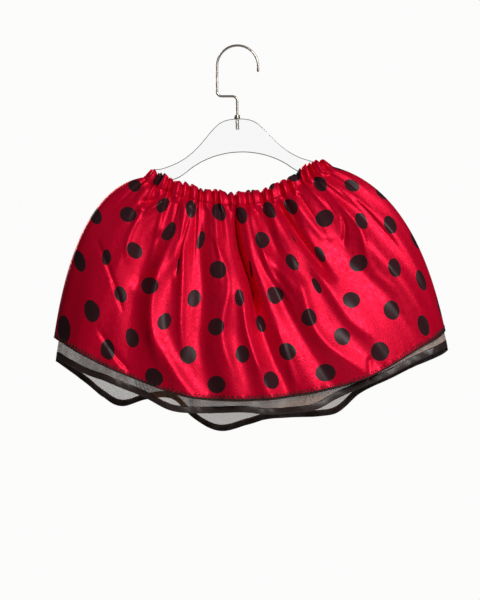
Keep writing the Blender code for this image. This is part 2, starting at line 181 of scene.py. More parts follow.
def new_finish(name):
    """A material, its node tree and its Principled shader."""
    material = bpy.data.materials.new(name)
    material.use_nodes = True
    return material, material.node_tree, material.node_tree.nodes["Principled BSDF"]


bpy.ops.object.select_all(action="DESELECT")
bpy.ops.mesh.primitive_circle_add(
    vertices=96, radius=FLOOR_RADIUS, fill_type="NGON", location=(0.0, 0.0, FLOOR_LEVEL)
)
floor = bpy.context.active_object
floor.name = "pale_floor"
floor_finish, floor_tree, floor_shader = new_finish("pale_floor")
plug_in(floor_tree, floor_shader, {"Base Color": FLOOR_TINT, "Roughness": 0.7})
floor.data.materials.append(floor_finish)
print("floor", FLOOR_LEVEL, "m below the rail")

# %% [markdown]
# ## Lines of threads
# Cloth is easiest to place when each point has a name in the flat cloth. Here that name is
# its share, from the left side seam (0) to the right one (1), and its fall, from the waist's
# top edge (0) to the hem (1). A short table says where ten lines of threads start, cross the
# stitch line and end. These are the sizes that the solids have, in millimetres.

# %% Sizes of the cloth
CLOTH_LENGTH = 320.0
CLOTH_WIDTH = 726.0
CASING_HEIGHT = 20.0
SEAM_GAP = 0.3
STITCH_FALL = CASING_HEIGHT / CLOTH_LENGTH
RIBBON_WIDTH = 10.0
LEFT_BOW = (0.28, 1.6, -34.0, 103.0)
RIGHT_BOW = (0.34, 1.5, 39.8, 90.0)
BACK_LOWER = 8.0
WAIST_DEPTH = 10.0
HEM_DEPTH = {-1: 68.0, 1: 46.0}
DEPTH_EASE = 1.6
HEM_ROUNDNESS = 2.3
WAIST_SQUARENESS = 3.7
SQUARENESS_FADE = 0.10
SIDE_FADE = 0.05
TUCKED_IN = 2.5           # mm of satin inside the casing
TUCK_DEPTH = 0.7          # mm by which that part is set in
TUCK_SPAN = (-0.006, 0.004)    # fall round the stitch line over which it comes out


def table(columns, rows):
    """One array for each named column."""
    return dict(zip(columns.split(), np.array(rows, float).T))


HANG = table("share top_x top_z stitch_x stitch_z hem_x hem_z", (
    (0.000, -130.0, -184.0, -141.0, -196.0, -275.0, -435.0),
    (0.090, -119.0, -188.5, -131.0, -207.5, -224.5, -463.0),
    (0.212, -98.0, -199.0, -103.5, -219.5, -167.0, -489.5),
    (0.333, -62.0, -211.0, -64.0, -231.5, -78.5, -520.0),
    (0.455, -23.0, -218.0, -22.0, -238.5, 11.0, -525.5),
    (0.576, 16.0, -218.0, 18.5, -238.0, 86.0, -519.0),
    (0.697, 56.0, -208.0, 61.5, -227.5, 182.0, -497.5),
    (0.818, 97.0, -182.5, 105.0, -201.5, 265.0, -454.0),
    (0.939, 118.0, -172.5, 127.5, -186.5, 304.0, -431.5),
    (1.000, 134.4, -172.8, 144.0, -180.3, 311.0, -425.0),
))
print("cloth", CLOTH_WIDTH, "by", CLOTH_LENGTH, "mm in front, and as much behind")

# %% Place a point of the cloth


def smooth(low, high, value):
    """A soft step from 0 to 1."""
    u = np.clip((value - low) / (high - low), 0.0, 1.0)
    return u * u * (3.0 - 2.0 * u)


def curve_through(value, xs, ys):
    """A smooth curve through the points of a table."""
    xs = np.asarray(xs, float)
    ys = np.asarray(ys, float)
    i = np.clip(np.searchsorted(xs, value) - 1, 0, len(xs) - 2)
    step = xs[i + 1] - xs[i]
    u = np.clip((value - xs[i]) / step, 0.0, 1.0)
    slope = np.gradient(ys, xs)
    start = (2 * u**3 - 3 * u**2 + 1) * ys[i] + (u**3 - 2 * u**2 + u) * step * slope[i]
    end = (3 * u**2 - 2 * u**3) * ys[i + 1] + (u**3 - u**2) * step * slope[i + 1]
    return start + end


def hang_point(share, fall):
    """X and Z of a point of the cloth, seen from the front."""
    place = {name: curve_through(share, HANG["share"], HANG[name]) for name in HANG}
    in_casing = np.minimum(fall / STITCH_FALL, 1.0)
    down = np.maximum(fall - STITCH_FALL, 0.0) / (1.0 - STITCH_FALL)
    left = np.clip(1.0 - share / LEFT_BOW[0], 0.0, 1.0) ** LEFT_BOW[1]
    right = np.clip(1.0 - (1.0 - share) / RIGHT_BOW[0], 0.0, 1.0) ** RIGHT_BOW[1]
    pull = 2.0 * down * (1.0 - down)
    x = place["top_x"] + (place["stitch_x"] - place["top_x"]) * in_casing
    z = place["top_z"] + (place["stitch_z"] - place["top_z"]) * in_casing
    x = x + (place["hem_x"] - place["stitch_x"]) * down
    z = z + (place["hem_z"] - place["stitch_z"]) * down
    x = x + pull * (left * LEFT_BOW[2] + right * RIGHT_BOW[2])
    z = z + pull * (left * LEFT_BOW[3] + right * RIGHT_BOW[3])
    return x, z


def line_length(share):
    """Length in mm of one whole fall, measured at the hem end of the line."""
    x_a, z_a = hang_point(share, 0.98)
    x_b, z_b = hang_point(share, 1.0)
    return np.hypot(x_b - x_a, z_b - z_a) / 0.02


def roundness(share, fall, inset=0.0):
    """Share of the full depth: 1 in the middle of the section, 0 at the side seams."""
    x, _ = hang_point(share, fall)
    left = hang_point(inset, fall)[0]
    right = hang_point(1.0 - inset, fall)[0]
    across = np.clip(2.0 * (x - left) / (right - left) - 1.0, -1.0, 1.0)
    power = HEM_ROUNDNESS + WAIST_SQUARENESS * np.exp(-fall / SQUARENESS_FADE)
    return (1.0 - np.abs(across) ** power) ** (1.0 / power)


def seen_share(share, side):
    """The share counted from the left of someone who looks at that side."""
    return share if side < 0 else 1.0 - share


def skirt_depth(fall, side):
    """Half depth of the skirt before its folds."""
    eased = 1.0 - (1.0 - np.clip(fall, 0.0, 1.0)) ** DEPTH_EASE
    return WAIST_DEPTH + (HEM_DEPTH[side] - WAIST_DEPTH) * eased


def side_fade(share):
    """Folds flatten beside the side seams."""
    return smooth(0.0, SIDE_FADE, share) * smooth(0.0, SIDE_FADE, 1.0 - share)


def fine_fade(share):
    """Small gathers reach almost to the side seams."""
    return smooth(0.0, 0.02, share) * smooth(0.0, 0.02, 1.0 - share)


def lower_back(share, fall, side):
    """The back hangs a little lower in its middle."""
    return np.where(side > 0, BACK_LOWER * np.sin(math.pi * share) * fall, 0.0)


def satin_fall(share, down):
    """Fall of a satin point: down is 0 just inside the casing and 1 at the hem."""
    start = STITCH_FALL - TUCKED_IN / CLOTH_LENGTH
    return start + (1.0 - start) * down + 0.0 * share


print("middle of the hem:", hang_point(np.array([0.5]), np.array([1.0])))

# %% [markdown]
# ## Folds
# The big folds hang from the gathers and spread as they fall. Each is a soft ridge or valley
# whose place is a share at five heights of the cloth. They are the folds that the solids have.
# On top of them come finer creases, listed one by one: sharp ridges where the satin catches the
# light, and narrow troughs where it is pinched, each along a stretch of its own.

# %% Big folds
FOLD_STATIONS = (0.10, 0.30, 0.50, 0.70, 1.00)
HEIGHT_STATIONS = (0.10, 0.50, 1.00)
BACK_FOLD_SCALE = 0.8
FOLDS = table("at_10 at_30 at_50 at_70 at_100 high_10 high_50 high_100 width", (
    (0.100, 0.088, 0.078, 0.068, 0.060, 2.5, 8.0, 9.0, 0.026),
    (0.195, 0.142, 0.123, 0.108, 0.090, 4.0, 9.0, 6.5, 0.028),
    (0.235, 0.182, 0.188, 0.203, 0.235, -2.0, -8.0, -8.0, 0.034),
    (0.300, 0.285, 0.243, 0.248, 0.345, 4.5, 10.5, 10.5, 0.026),
    (0.335, 0.308, 0.312, 0.315, 0.320, 2.5, 6.5, 0.0, 0.020),
    (0.365, 0.360, 0.368, 0.365, 0.395, -2.5, -6.5, -5.0, 0.022),
    (0.402, 0.418, 0.430, 0.413, 0.435, 5.0, 13.0, 10.5, 0.034),
    (0.492, 0.496, 0.522, 0.530, 0.565, -5.0, -10.5, -6.5, 0.022),
    (0.528, 0.540, 0.560, 0.580, 0.610, 5.0, 4.0, 0.0, 0.020),
    (0.470, 0.470, 0.482, 0.484, 0.512, 0.0, 8.0, 9.0, 0.024),
    (0.563, 0.587, 0.640, 0.648, 0.712, 5.0, 11.5, 10.5, 0.026),
    (0.650, 0.665, 0.668, 0.690, 0.712, 5.0, 5.0, 0.0, 0.022),
    (0.600, 0.615, 0.600, 0.620, 0.650, -2.5, -6.5, -5.0, 0.022),
    (0.700, 0.692, 0.708, 0.732, 0.760, -2.5, 9.0, 9.0, 0.024),
    (0.790, 0.838, 0.840, 0.866, 0.900, 5.0, 11.5, 10.5, 0.028),
    (0.745, 0.770, 0.780, 0.800, 0.830, 4.0, -6.5, -8.0, 0.026),
    (0.880, 0.908, 0.935, 0.948, 0.958, 4.0, 8.0, 6.5, 0.022),
))


def folds(share, fall):
    """Height of the hanging folds, in mm outwards."""
    height = np.zeros_like(share)
    for i in range(len(FOLDS["width"])):
        places = [FOLDS[name][i] for name in ("at_10", "at_30", "at_50", "at_70", "at_100")]
        heights = [FOLDS[name][i] for name in ("high_10", "high_50", "high_100")]
        place = curve_through(fall, FOLD_STATIONS, places)
        high = np.interp(fall, HEIGHT_STATIONS, heights)
        height += high * np.exp(-(((share - place) / FOLDS["width"][i]) ** 2))
    return height


print(len(FOLDS["width"]), "folds")

# %% Fine creases
CREASE_STATIONS = (0.0, 1 / 3, 2 / 3, 1.0)
CREASE_SCALE = 1.3
CREASE_END = 0.22         # share of a crease's own length in which each end fades
CREASES = table("start end at_0 at_33 at_67 at_100 height width", (
    (0.16, 0.97, 0.284, 0.244, 0.246, 0.294, 2.6, 0.010),
    (0.08, 0.54, 0.212, 0.146, 0.122, 0.150, 2.4, 0.011),
    (0.24, 0.62, 0.236, 0.211, 0.204, 0.198, -4.2, 0.023),
    (0.20, 0.86, 0.300, 0.309, 0.315, 0.330, 2.4, 0.008),
    (0.12, 0.48, 0.318, 0.303, 0.295, 0.295, -3.6, 0.007),
    (0.14, 0.95, 0.388, 0.446, 0.415, 0.446, 2.2, 0.011),
    (0.02, 0.68, 0.511, 0.497, 0.517, 0.512, -11.0, 0.009),
    (0.24, 0.50, 0.499, 0.508, 0.516, 0.518, 2.0, 0.007),
    (0.22, 0.68, 0.584, 0.584, 0.614, 0.627, 2.6, 0.009),
    (0.24, 0.97, 0.646, 0.656, 0.650, 0.702, 2.4, 0.010),
    (0.36, 0.88, 0.700, 0.711, 0.719, 0.750, 2.4, 0.010),
    (0.04, 0.56, 0.686, 0.697, 0.713, 0.732, -9.0, 0.010),
    (0.09, 0.40, 0.737, 0.741, 0.752, 0.775, 2.4, 0.012),
    (0.18, 0.78, 0.832, 0.850, 0.810, 0.840, 2.6, 0.011),
    (0.26, 0.62, 0.905, 0.908, 0.911, 0.922, -2.6, 0.007),
    (0.91, 1.03, 0.729, 0.722, 0.716, 0.709, -1.8, 0.005),
    (0.50, 0.92, 0.484, 0.480, 0.491, 0.510, 2.0, 0.009),
    (0.64, 1.02, 0.569, 0.573, 0.578, 0.581, 2.0, 0.008),
))


CROSS_CREASES = table("start end at_0 at_33 at_67 at_100 height width", (
    (0.095, 0.200, 0.235, 0.222, 0.180, 0.125, 3.0, 0.022),
    (0.100, 0.180, 0.185, 0.170, 0.140, 0.105, -3.4, 0.018),
    (0.030, 0.180, 0.545, 0.585, 0.655, 0.740, -2.4, 0.016),
    (0.100, 0.230, 0.865, 0.900, 0.940, 0.980, -2.8, 0.014),
    (0.782, 0.830, 0.420, 0.400, 0.360, 0.310, -3.4, 0.020),
))


def crease_heights(rows, along_share, across_share):
    """Height of the creases of one table, each along its own stretch."""
    height = np.zeros_like(along_share)
    for i in range(len(rows["width"])):
        start = rows["start"][i]
        along = (along_share - start) / (rows["end"][i] - start)
        places = [rows[name][i] for name in ("at_0", "at_33", "at_67", "at_100")]
        place = curve_through(along, CREASE_STATIONS, places)
        window = smooth(0.0, CREASE_END, along) * smooth(0.0, CREASE_END, 1.0 - along)
        high = rows["height"][i] * window
        height += high * np.exp(-(((across_share - place) / rows["width"][i]) ** 2))
    return height


def creases(share, fall):
    """Height of all fine creases, in mm outwards."""
    down = crease_heights(CREASES, fall, share)
    return CREASE_SCALE * (down + crease_heights(CROSS_CREASES, share, fall))


print(len(CREASES["width"]), "creases down the cloth,", len(CROSS_CREASES["width"]), "across")

# %% [markdown]
# ## Gathers
# Elastic draws nearly three widths of cloth into one. Seen close, that is a row of puffs with
# a sharp pinch between each two, never even in width or height. A cosine gives even waves, so
# its absolute value is raised to a power, which rounds the crests and sharpens the pinches,
# and slow sines make the spacing and height uneven. Every second puff runs on down the satin.

# %% Puffs and ridges
CASING_GATHERS = 28
SATIN_GATHERS = 14
GATHER_HEIGHT = 3.8
PUFF_POWER = 1.1
PUFF_FADE = 0.11          # fall where the small puffs have gone
RIDGE_FADE = 0.34         # and the longer ridges
END_REACH = 0.11          # share from each side seam in which the gathers are wider
END_SLACK = 0.65
RIDGE_SHARE = 0.8         # height of the longer ridges against the puffs
TURN_WAVES = ((0.20, 14.5, 1.0), (0.08, 32.0, 0.0), (0.14, 83.0, 2.0), (0.06, 141.0, 0.0))
HEIGHT_WAVES = ((0.32, 61.0, 0.4), (0.24, 149.0, 1.3))


def uneven_waves(share, rows):
    """A sum of sines that hardly repeats. A row is height, quickness and start."""
    return sum(high * np.sin(quick * share + start) for high, quick, start in rows)


def turns(share, count):
    """Uneven count of gathers from the left seam to a share, wider ones at both ends."""
    ends = np.exp(-share / END_REACH) - np.exp((share - 1.0) / END_REACH)
    even = share + END_SLACK * END_REACH * ends
    return count * even + uneven_waves(share, TURN_WAVES)


def puffs(share, count):
    """Row of puffs, 1 on a crest and -1 in a pinch."""
    return 2.0 * np.abs(np.cos(math.pi * turns(share, count))) ** PUFF_POWER - 1.0


def unevenness(share):
    """Some gathers stand higher than others."""
    return 1.0 + uneven_waves(share, HEIGHT_WAVES)


def gather_ridges(share, fall):
    """Puffs below the stitch line, which soon join into longer ridges."""
    merged = smooth(STITCH_FALL, PUFF_FADE, fall)
    gone = smooth(PUFF_FADE, RIDGE_FADE * unevenness(share), fall)
    small = (1.0 - merged) * puffs(share, CASING_GATHERS)
    long = RIDGE_SHARE * merged * (1.0 - gone) * puffs(share, SATIN_GATHERS)
    return GATHER_HEIGHT * unevenness(share) * (small + long)


print(CASING_GATHERS, "puffs on each side of the waist")

# %% [markdown]
# ## The satin's surface
# All of this adds up to one function from the flat cloth to its place in the air. Soft noise,
# longer down the cloth than across it, keeps the panels from looking drawn with a ruler, and
# the last few millimetres ripple, because overlocking stretches a hem a little. The casing's
# top edge is a frill: each gather ends in a round loop, with a sharp notch beside it.

# %% Surface functions
RUMPLES = ((1.1, 34.0, 62.0), (0.5, 13.0, 36.0))     # height, size across, size down
HEM_RIPPLE = 0.7
HEM_RIPPLES = 46
RIPPLE_START = 0.975      # fall
FOLD_START = 0.03         # fall below the seam over which the folds set in
CASING_BULGE = 1.2
FRILL_HEIGHT = 4.6
LOOP_POWER = 0.5          # rounds the loops of the frill and sharpens its notches
LOOP_HEIGHT = 1.1
LOOP_BASE = -0.7
FRILL_WAVES = ((0.35, 47.0, 0.0), (0.12, 203.0, 0.8))
SEED = {-1: 3.7, 1: 21.4}


def rumple(share, fall, side):
    """Soft uneven dents all over the cloth."""
    height = np.zeros_like(share)
    for high, size_across, size_down in RUMPLES:
        across = share * CLOTH_WIDTH / size_across
        down = fall * CLOTH_LENGTH / size_down
        values = [noise.noise(Vector((a, d, SEED[side]))) for a, d in zip(across, down)]
        height += high * np.array(values)
    return height * smooth(STITCH_FALL, 0.2, fall)


def fold_drape(share, fall, side):
    """Height of the big folds on the front or the back."""
    if side < 0:
        drape = folds(share, fall)
    else:
        drape = BACK_FOLD_SCALE * folds(1.0 - share, fall)
    return drape * smooth(0.0, 0.12, fall)


def fine_drape(share, fall, side):
    """Height of all that the fine cloth adds to the big folds."""
    seen = seen_share(share, side)
    wave = np.sin(2.0 * math.pi * turns(seen, HEM_RIPPLES))
    ripple = HEM_RIPPLE * smooth(RIPPLE_START, 1.0, fall) * wave
    return creases(seen, fall) + gather_ridges(share, fall) + rumple(share, fall, side) + ripple


def stand_out(depth, share, fall, side, inset=0.0):
    """Y of a surface whose full depth is given for the middle of its section."""
    return side * (depth * roundness(share, fall, inset) + SEAM_GAP / 2)


def satin_point(share, down, side):
    """Place of a satin point. The side is -1 for the front and 1 for the back."""
    fall = satin_fall(share, down)
    x, z = hang_point(share, fall)
    below = smooth(STITCH_FALL, STITCH_FALL + FOLD_START, fall)
    drape = side_fade(share) * below * fold_drape(share, fall, side)
    drape = drape + fine_fade(share) * fine_drape(share, fall, side)
    clear = smooth(STITCH_FALL + TUCK_SPAN[0], STITCH_FALL + TUCK_SPAN[1], fall)
    tucked = TUCK_DEPTH * (1.0 - clear)
    depth = skirt_depth(fall, side) + drape - tucked
    return x, stand_out(depth, share, fall, side), z - lower_back(share, fall, side)


def casing_point(share, fall, side):
    """Outer face of the casing, from its frilled top edge to the stitch line."""
    x, z = hang_point(share, fall)
    down = fall / STITCH_FALL
    waves = puffs(share, CASING_GATHERS) * unevenness(share)
    bulge = CASING_BULGE * np.sin(math.pi * np.clip(down, 0.0, 1.0))
    fade = fine_fade(share)
    depth = skirt_depth(fall, side) + fade * (GATHER_HEIGHT * waves + bulge)
    loops = np.abs(np.cos(math.pi * turns(share, CASING_GATHERS))) ** LOOP_POWER
    ragged = LOOP_HEIGHT * loops + LOOP_BASE + uneven_waves(share, FRILL_WAVES)
    frill = fade * FRILL_HEIGHT * (1.0 - down) * ragged
    return x, stand_out(depth, share, fall, side), z + frill - lower_back(share, fall, side)


print("surface functions ready")

# %% [markdown]
# ## The print on the cloth
# The dots were printed on flat cloth in an even quincunx, 88 mm from dot to dot. Their
# pattern must ride on the threads, so each mesh carries its flat place as a UV map in metres.
# The gathers pull some cloth sideways and down out of its straight lines. A short table says
# how far, in mm, at three heights, and the map gives that cloth back.

# %% Flat map
PULL_FALLS = (0.12, 0.40, 0.80)
PULL = table("share across_12 across_40 across_80 down_12 down_40 down_80", (
    (0.00, -2, -18, -4, 15, 36, 10),
    (0.09, 14, -6, -4, 18, 27, 14),
    (0.16, 33, 4, 2, 17, 23, 3),
    (0.21, 42, 13, 1, 14, 16, 14),
    (0.26, 36, 22, -1, 1, 10, 13),
    (0.32, 36, 12, 3, 5, 11, 9),
    (0.38, 27, 12, 3, 3, 6, 5),
    (0.44, 34, 18, 4, 2, 4, 2),
    (0.53, 9, 8, 8, 6, 2, -1),
    (0.58, 8, 4, 2, 4, 3, 3),
    (0.65, 8, 18, 4, 4, 2, 1),
    (0.70, -24, -12, -1, 10, 6, 0),
    (0.75, -31, -24, -7, 12, 11, 1),
    (0.80, -27, -22, -9, 12, 12, 6),
    (0.86, -20, -10, -8, 6, 9, 4),
    (0.95, 10, 5, 0, 0, 0, 0),
    (1.00, 5, 2, 0, 0, 0, 0),
))


def pulled(kind, share, fall):
    """How far the cloth is pulled out of its straight lines, in mm."""
    rows = [curve_through(share, PULL["share"], PULL[f"{kind}_{n}"]) for n in ("12", "40", "80")]
    upper = smooth(PULL_FALLS[0], PULL_FALLS[1], fall)
    lower = smooth(PULL_FALLS[1], PULL_FALLS[2], fall)
    return rows[0] + (rows[1] - rows[0]) * upper + (rows[2] - rows[1]) * lower


def flat_place(share, fall, side):
    """Place in the flat cloth, in metres."""
    seen = seen_share(share, side)
    across = seen * CLOTH_WIDTH - pulled("across", seen, fall)
    down = fall * CLOTH_LENGTH - pulled("down", seen, fall)
    return np.stack([across, down], axis=1) * MM


# %% [markdown]
# Where cloth is gathered, its surplus hides in the pinches, and the faces between them show
# their dots in full. On the turned flank of a fold a dot is a sliver. The map spreads the
# surplus evenly, so a second table says how wide the dots look at some places, and that value
# goes into a mesh attribute for the print.

# %% Width of the dots
DOT_REACH = (0.030, 0.10)     # share and fall over which a row works
DOT_FACES = table("share fall width", (
    (0.027, 0.14, 1.10), (0.157, 0.44, 1.25), (0.441, 0.10, 1.60), (0.528, 0.11, 1.35),
    (0.647, 0.11, 1.50), (0.424, 0.38, 1.35), (0.664, 0.37, 1.45), (0.946, 0.50, 1.30),
    (0.577, 0.52, 1.12), (0.578, 0.79, 1.14), (0.085, 0.81, 1.20), (0.526, 0.90, 1.18),
    (0.156, 0.91, 1.30), (0.209, 0.14, 0.80), (0.253, 0.24, 0.85), (0.360, 0.26, 0.55),
    (0.296, 0.41, 0.20), (0.080, 0.59, 0.55), (0.280, 0.68, 0.70), (0.269, 0.95, 0.85),
    (0.468, 0.52, 0.85), (0.525, 0.64, 0.78), (0.460, 0.78, 0.82), (0.585, 0.24, 0.85),
    (0.480, 0.24, 0.04), (0.515, 0.37, 0.04), (0.685, 0.23, 0.04), (0.727, 0.40, 0.55),
    (0.691, 0.52, 0.68), (0.866, 0.40, 0.70),
))


def dot_width(share, fall):
    """How wide the dots look at a place of the cloth, 1 for a round dot."""
    width = 1.0 + 0.35 * (1.0 - smooth(0.05, 0.50, fall))
    for i in range(len(DOT_FACES["width"])):
        near = ((share - DOT_FACES["share"][i]) / DOT_REACH[0]) ** 2
        near = near + ((fall - DOT_FACES["fall"][i]) / DOT_REACH[1]) ** 2
        width = width * (1.0 + (DOT_FACES["width"][i] - 1.0) * np.exp(-near))
    return width


print(len(DOT_FACES["width"]), "places with dots of another width")

# %% [markdown]
# ## Shared effects
# Three shader groups are built once and used in several finishes: the polka dots, the fine
# floats of a satin weave, and slow changes of tone. Each puts out only masks, heights or
# values, and the finishes themselves hold their own shaders.

# %% Group tools


def new_group(name, numbers, results):
    """A shader node group with a vector and named numbers going in, and numbers coming out."""
    group = bpy.data.node_groups.new(name, "ShaderNodeTree")
    group.interface.new_socket("Vector", in_out="INPUT", socket_type="NodeSocketVector")
    for socket, value in numbers.items():
        made = group.interface.new_socket(socket, in_out="INPUT", socket_type="NodeSocketFloat")
        made.default_value = value
    for socket in results:
        group.interface.new_socket(socket, in_out="OUTPUT", socket_type="NodeSocketFloat")
    return group, add_node(group, "NodeGroupInput").outputs


def vector_math(tree, operation, first, second=None):
    """The result of a Vector Math node. SCALE has a number as its second input."""
    sockets = {0: first}
    if second is not None:
        sockets["Scale" if operation == "SCALE" else 1] = second
    made = add_node(tree, "ShaderNodeVectorMath", sockets, operation=operation)
    return made.outputs["Value" if operation == "LENGTH" else "Vector"]


def add_noise(tree, vector, scale, detail, roughness):
    """The values of a noise texture."""
    sockets = {"Vector": vector, "Scale": scale, "Detail": detail, "Roughness": roughness}
    return add_node(tree, "ShaderNodeTexNoise", sockets).outputs[0]


print("group tools ready")

# %% Polka dots


def make_dots():
    """Round dots in a square lattice with one more in each middle."""
    numbers = {"Period": 0.088, "Radius": 0.0135, "Softness": 0.0004, "Width": 1.0}
    group, given = new_group("polka_dots", numbers, ["Mask"])
    narrower = calculate(group, "DIVIDE", 1.0, given["Width"])
    aspect = add_node(group, "ShaderNodeCombineXYZ", {"X": narrower, "Y": 1.0, "Z": 1.0})
    over = calculate(group, "DIVIDE", 1.0, given["Period"])
    cell = vector_math(group, "SCALE", given["Vector"], over)
    distances = []
    for shift in (0.0, 0.5):
        moved = vector_math(group, "ADD", cell, (shift, shift, 0.0))
        wrapped = vector_math(group, "FRACTION", moved)
        centred = vector_math(group, "SUBTRACT", wrapped, (0.5, 0.5, 0.0))
        shaped = vector_math(group, "MULTIPLY", centred, aspect.outputs[0])
        distances.append(vector_math(group, "LENGTH", shaped))
    nearest = calculate(group, "MINIMUM", distances[0], distances[1])
    metres = calculate(group, "MULTIPLY", nearest, given["Period"])
    inner = calculate(group, "SUBTRACT", given["Radius"], given["Softness"])
    outer = calculate(group, "ADD", given["Radius"], given["Softness"])
    rim = remap(group, metres, (inner, outer), (1.0, 0.0), "SMOOTHSTEP")
    add_node(group, "NodeGroupOutput", {"Mask": rim})
    return group


DOTS = make_dots()
print("polka dots:", len(DOTS.nodes), "nodes")

# %% Satin floats


def make_floats():
    """Long smooth floats of a satin weave, as a height and as a fleck mask."""
    numbers = {"Thread": 0.0007, "Length": 0.003}
    group, given = new_group("satin_floats", numbers, ["Height", "Fleck"])
    split = add_node(group, "ShaderNodeSeparateXYZ", {0: given["Vector"]})
    across = calculate(group, "DIVIDE", split.outputs["X"], given["Thread"])
    down = calculate(group, "DIVIDE", split.outputs["Y"], given["Length"])
    joined = add_node(group, "ShaderNodeCombineXYZ", {"X": across, "Y": down}).outputs[0]
    fine = add_noise(group, joined, 1.0, 2.0, 0.5)
    coarse = add_noise(group, joined, 0.35, 3.0, 0.6)
    add_node(group, "NodeGroupOutput", {"Height": fine, "Fleck": coarse})
    return group


FLOATS = make_floats()
print("satin floats:", len(FLOATS.nodes), "nodes")

# %% Slow tone changes


def make_tone():
    """A value near 1 that drifts over a few centimetres."""
    group, given = new_group("tone_drift", {"Size": 0.05, "Amount": 0.1}, ["Value"])
    over = calculate(group, "DIVIDE", 1.0, given["Size"])
    drift = add_noise(group, given["Vector"], over, 2.0, 0.5)
    centred = calculate(group, "SUBTRACT", drift, 0.5)
    scaled = calculate(group, "MULTIPLY", centred, given["Amount"])
    doubled = calculate(group, "MULTIPLY", scaled, 2.0)
    value = calculate(group, "ADD", doubled, 1.0)
    add_node(group, "NodeGroupOutput", {"Value": value})
    return group


TONE = make_tone()
print("tone drift:", len(TONE.nodes), "nodes")

# %% [markdown]
# ## Finishes
# Satin is a plain red dye under long smooth threads. Part of the light comes back from the
# threads themselves, as red sheen, so the shader is partly metallic. The gloss is broad and
# runs across the threads, which takes some anisotropy along the flat map, and a fine bump
# breaks it into the grain that satin shows. The dots are a thin printed film with a gloss of
# its own, which is why they look grey where the red looks pink.

# %% Finish tools
FLECK_SPAN = (0.3, 0.7)       # nearly all values of a noise texture lie between these


def place_group(tree, group, sockets):
    """The outputs of a group that is placed in a material."""
    return add_node(tree, "ShaderNodeGroup", sockets, node_tree=group).outputs


def tone_colour(tree, colour, vector, size, amount):
    """A colour that drifts a little lighter and darker."""
    tone = place_group(tree, TONE, {"Vector": vector, "Size": size, "Amount": amount})
    return vector_math(tree, "SCALE", colour, tone["Value"])


def relief(tree, height, strength, distance):
    """The normal of a fine relief with this height."""
    sockets = {"Height": height, "Strength": strength, "Distance": distance}
    return add_node(tree, "ShaderNodeBump", sockets).outputs[0]


def flat_map(tree):
    """Places in the flat cloth, for a finish that rides on the threads."""
    return add_node(tree, "ShaderNodeUVMap", uv_map="flat_cloth").outputs[0]


def object_place(tree):
    """Places in the object, for a finish without a map."""
    return add_node(tree, "ShaderNodeTexCoord").outputs["Object"]


print("finish tools ready")

# %% Red satin
SATIN_RED = (0.70, 0.0012, 0.029)
SATIN_GLOSS = (1.0, 0.20, 0.36)
SATIN_SHEEN = 0.34        # share of the light that the threads throw back as red gloss
SATIN_ROUGHNESS = (0.28, 0.54)
DOT_GLOSS = 0.22          # the print is a thin film, with a gloss of its own
DOT_ROUGHNESS = 0.78
DOT_BLACK = (0.014, 0.007, 0.007)
FRONT_PRINT = (0.022, 0.0142, 0.0)     # brings a dot to a cell's middle
BACK_PRINT = (0.013, 0.031, 0.0)


def make_satin(name, shift):
    """Glossy red satin with printed dots, on the flat map."""
    material, tree, shader = new_finish(name)
    flat = flat_map(tree)
    moved = vector_math(tree, "ADD", flat, shift)
    width = add_node(tree, "ShaderNodeAttribute", attribute_name="dot_width")
    dot = place_group(tree, DOTS, {"Vector": moved, "Width": width.outputs["Fac"]})["Mask"]
    bare = calculate(tree, "SUBTRACT", 1.0, dot)
    weave = {"Vector": flat, "Thread": 0.0016, "Length": 0.0030}
    floats = place_group(tree, FLOATS, weave)
    woven = remap(tree, floats["Fleck"], FLECK_SPAN, SATIN_ROUGHNESS)
    red = tone_colour(tree, SATIN_RED, flat, 0.05, 0.07)
    colour = add_node(tree, "ShaderNodeMix", {
        "Factor": dot, "A": red, "B": (*DOT_BLACK, 1.0),
    }, data_type="RGBA")
    rough = add_node(tree, "ShaderNodeMix", {
        "Factor": dot, "A": woven, "B": DOT_ROUGHNESS,
    }, data_type="FLOAT")
    grain = add_node(tree, "ShaderNodeTangent", direction_type="UV_MAP", uv_map="flat_cloth")
    plug_in(tree, shader, {
        "Base Color": colour.outputs["Result"],
        "Roughness": rough.outputs["Result"],
        "Metallic": calculate(tree, "MULTIPLY", bare, SATIN_SHEEN),
        "Coat Weight": calculate(tree, "MULTIPLY", dot, DOT_GLOSS),
        "Coat Roughness": 0.34,
        "Normal": relief(tree, floats["Height"], 0.5, 0.0006),
        "Tangent": grain.outputs[0],
        "Anisotropic": 0.6,
        "Specular IOR Level": 0.5,
        "Specular Tint": (*SATIN_GLOSS, 1.0),
    })
    return material


FINISHES = {
    "red_satin_front": make_satin("red_satin_front", FRONT_PRINT),
    "red_satin_back": make_satin("red_satin_back", BACK_PRINT),
}
print("satin ready")

# %% [markdown]
# The ribbon is the same weave in black, woven narrow, with a slight rib across it. The net is
# a fine honeycomb of thread, and what the eye sees from a step away is a grey veil, so the
# holes are cut in its alpha and never modelled.

# %% Ribbon, thread and net
RIBBON_BLACK = (0.026, 0.012, 0.010)
RIBBON_ROUGHNESS = (0.34, 0.52)
THREAD_BLACK = (0.016, 0.010, 0.010)
NET_GREY = (0.26, 0.124, 0.064)
NET_CELL = 0.0013
NET_THREAD = (0.09, 0.20)     # from a thread's middle to its edge, as shares of a cell
NET_ALPHA = (0.95, 0.29)      # of a thread, and of the holes with their fine fuzz


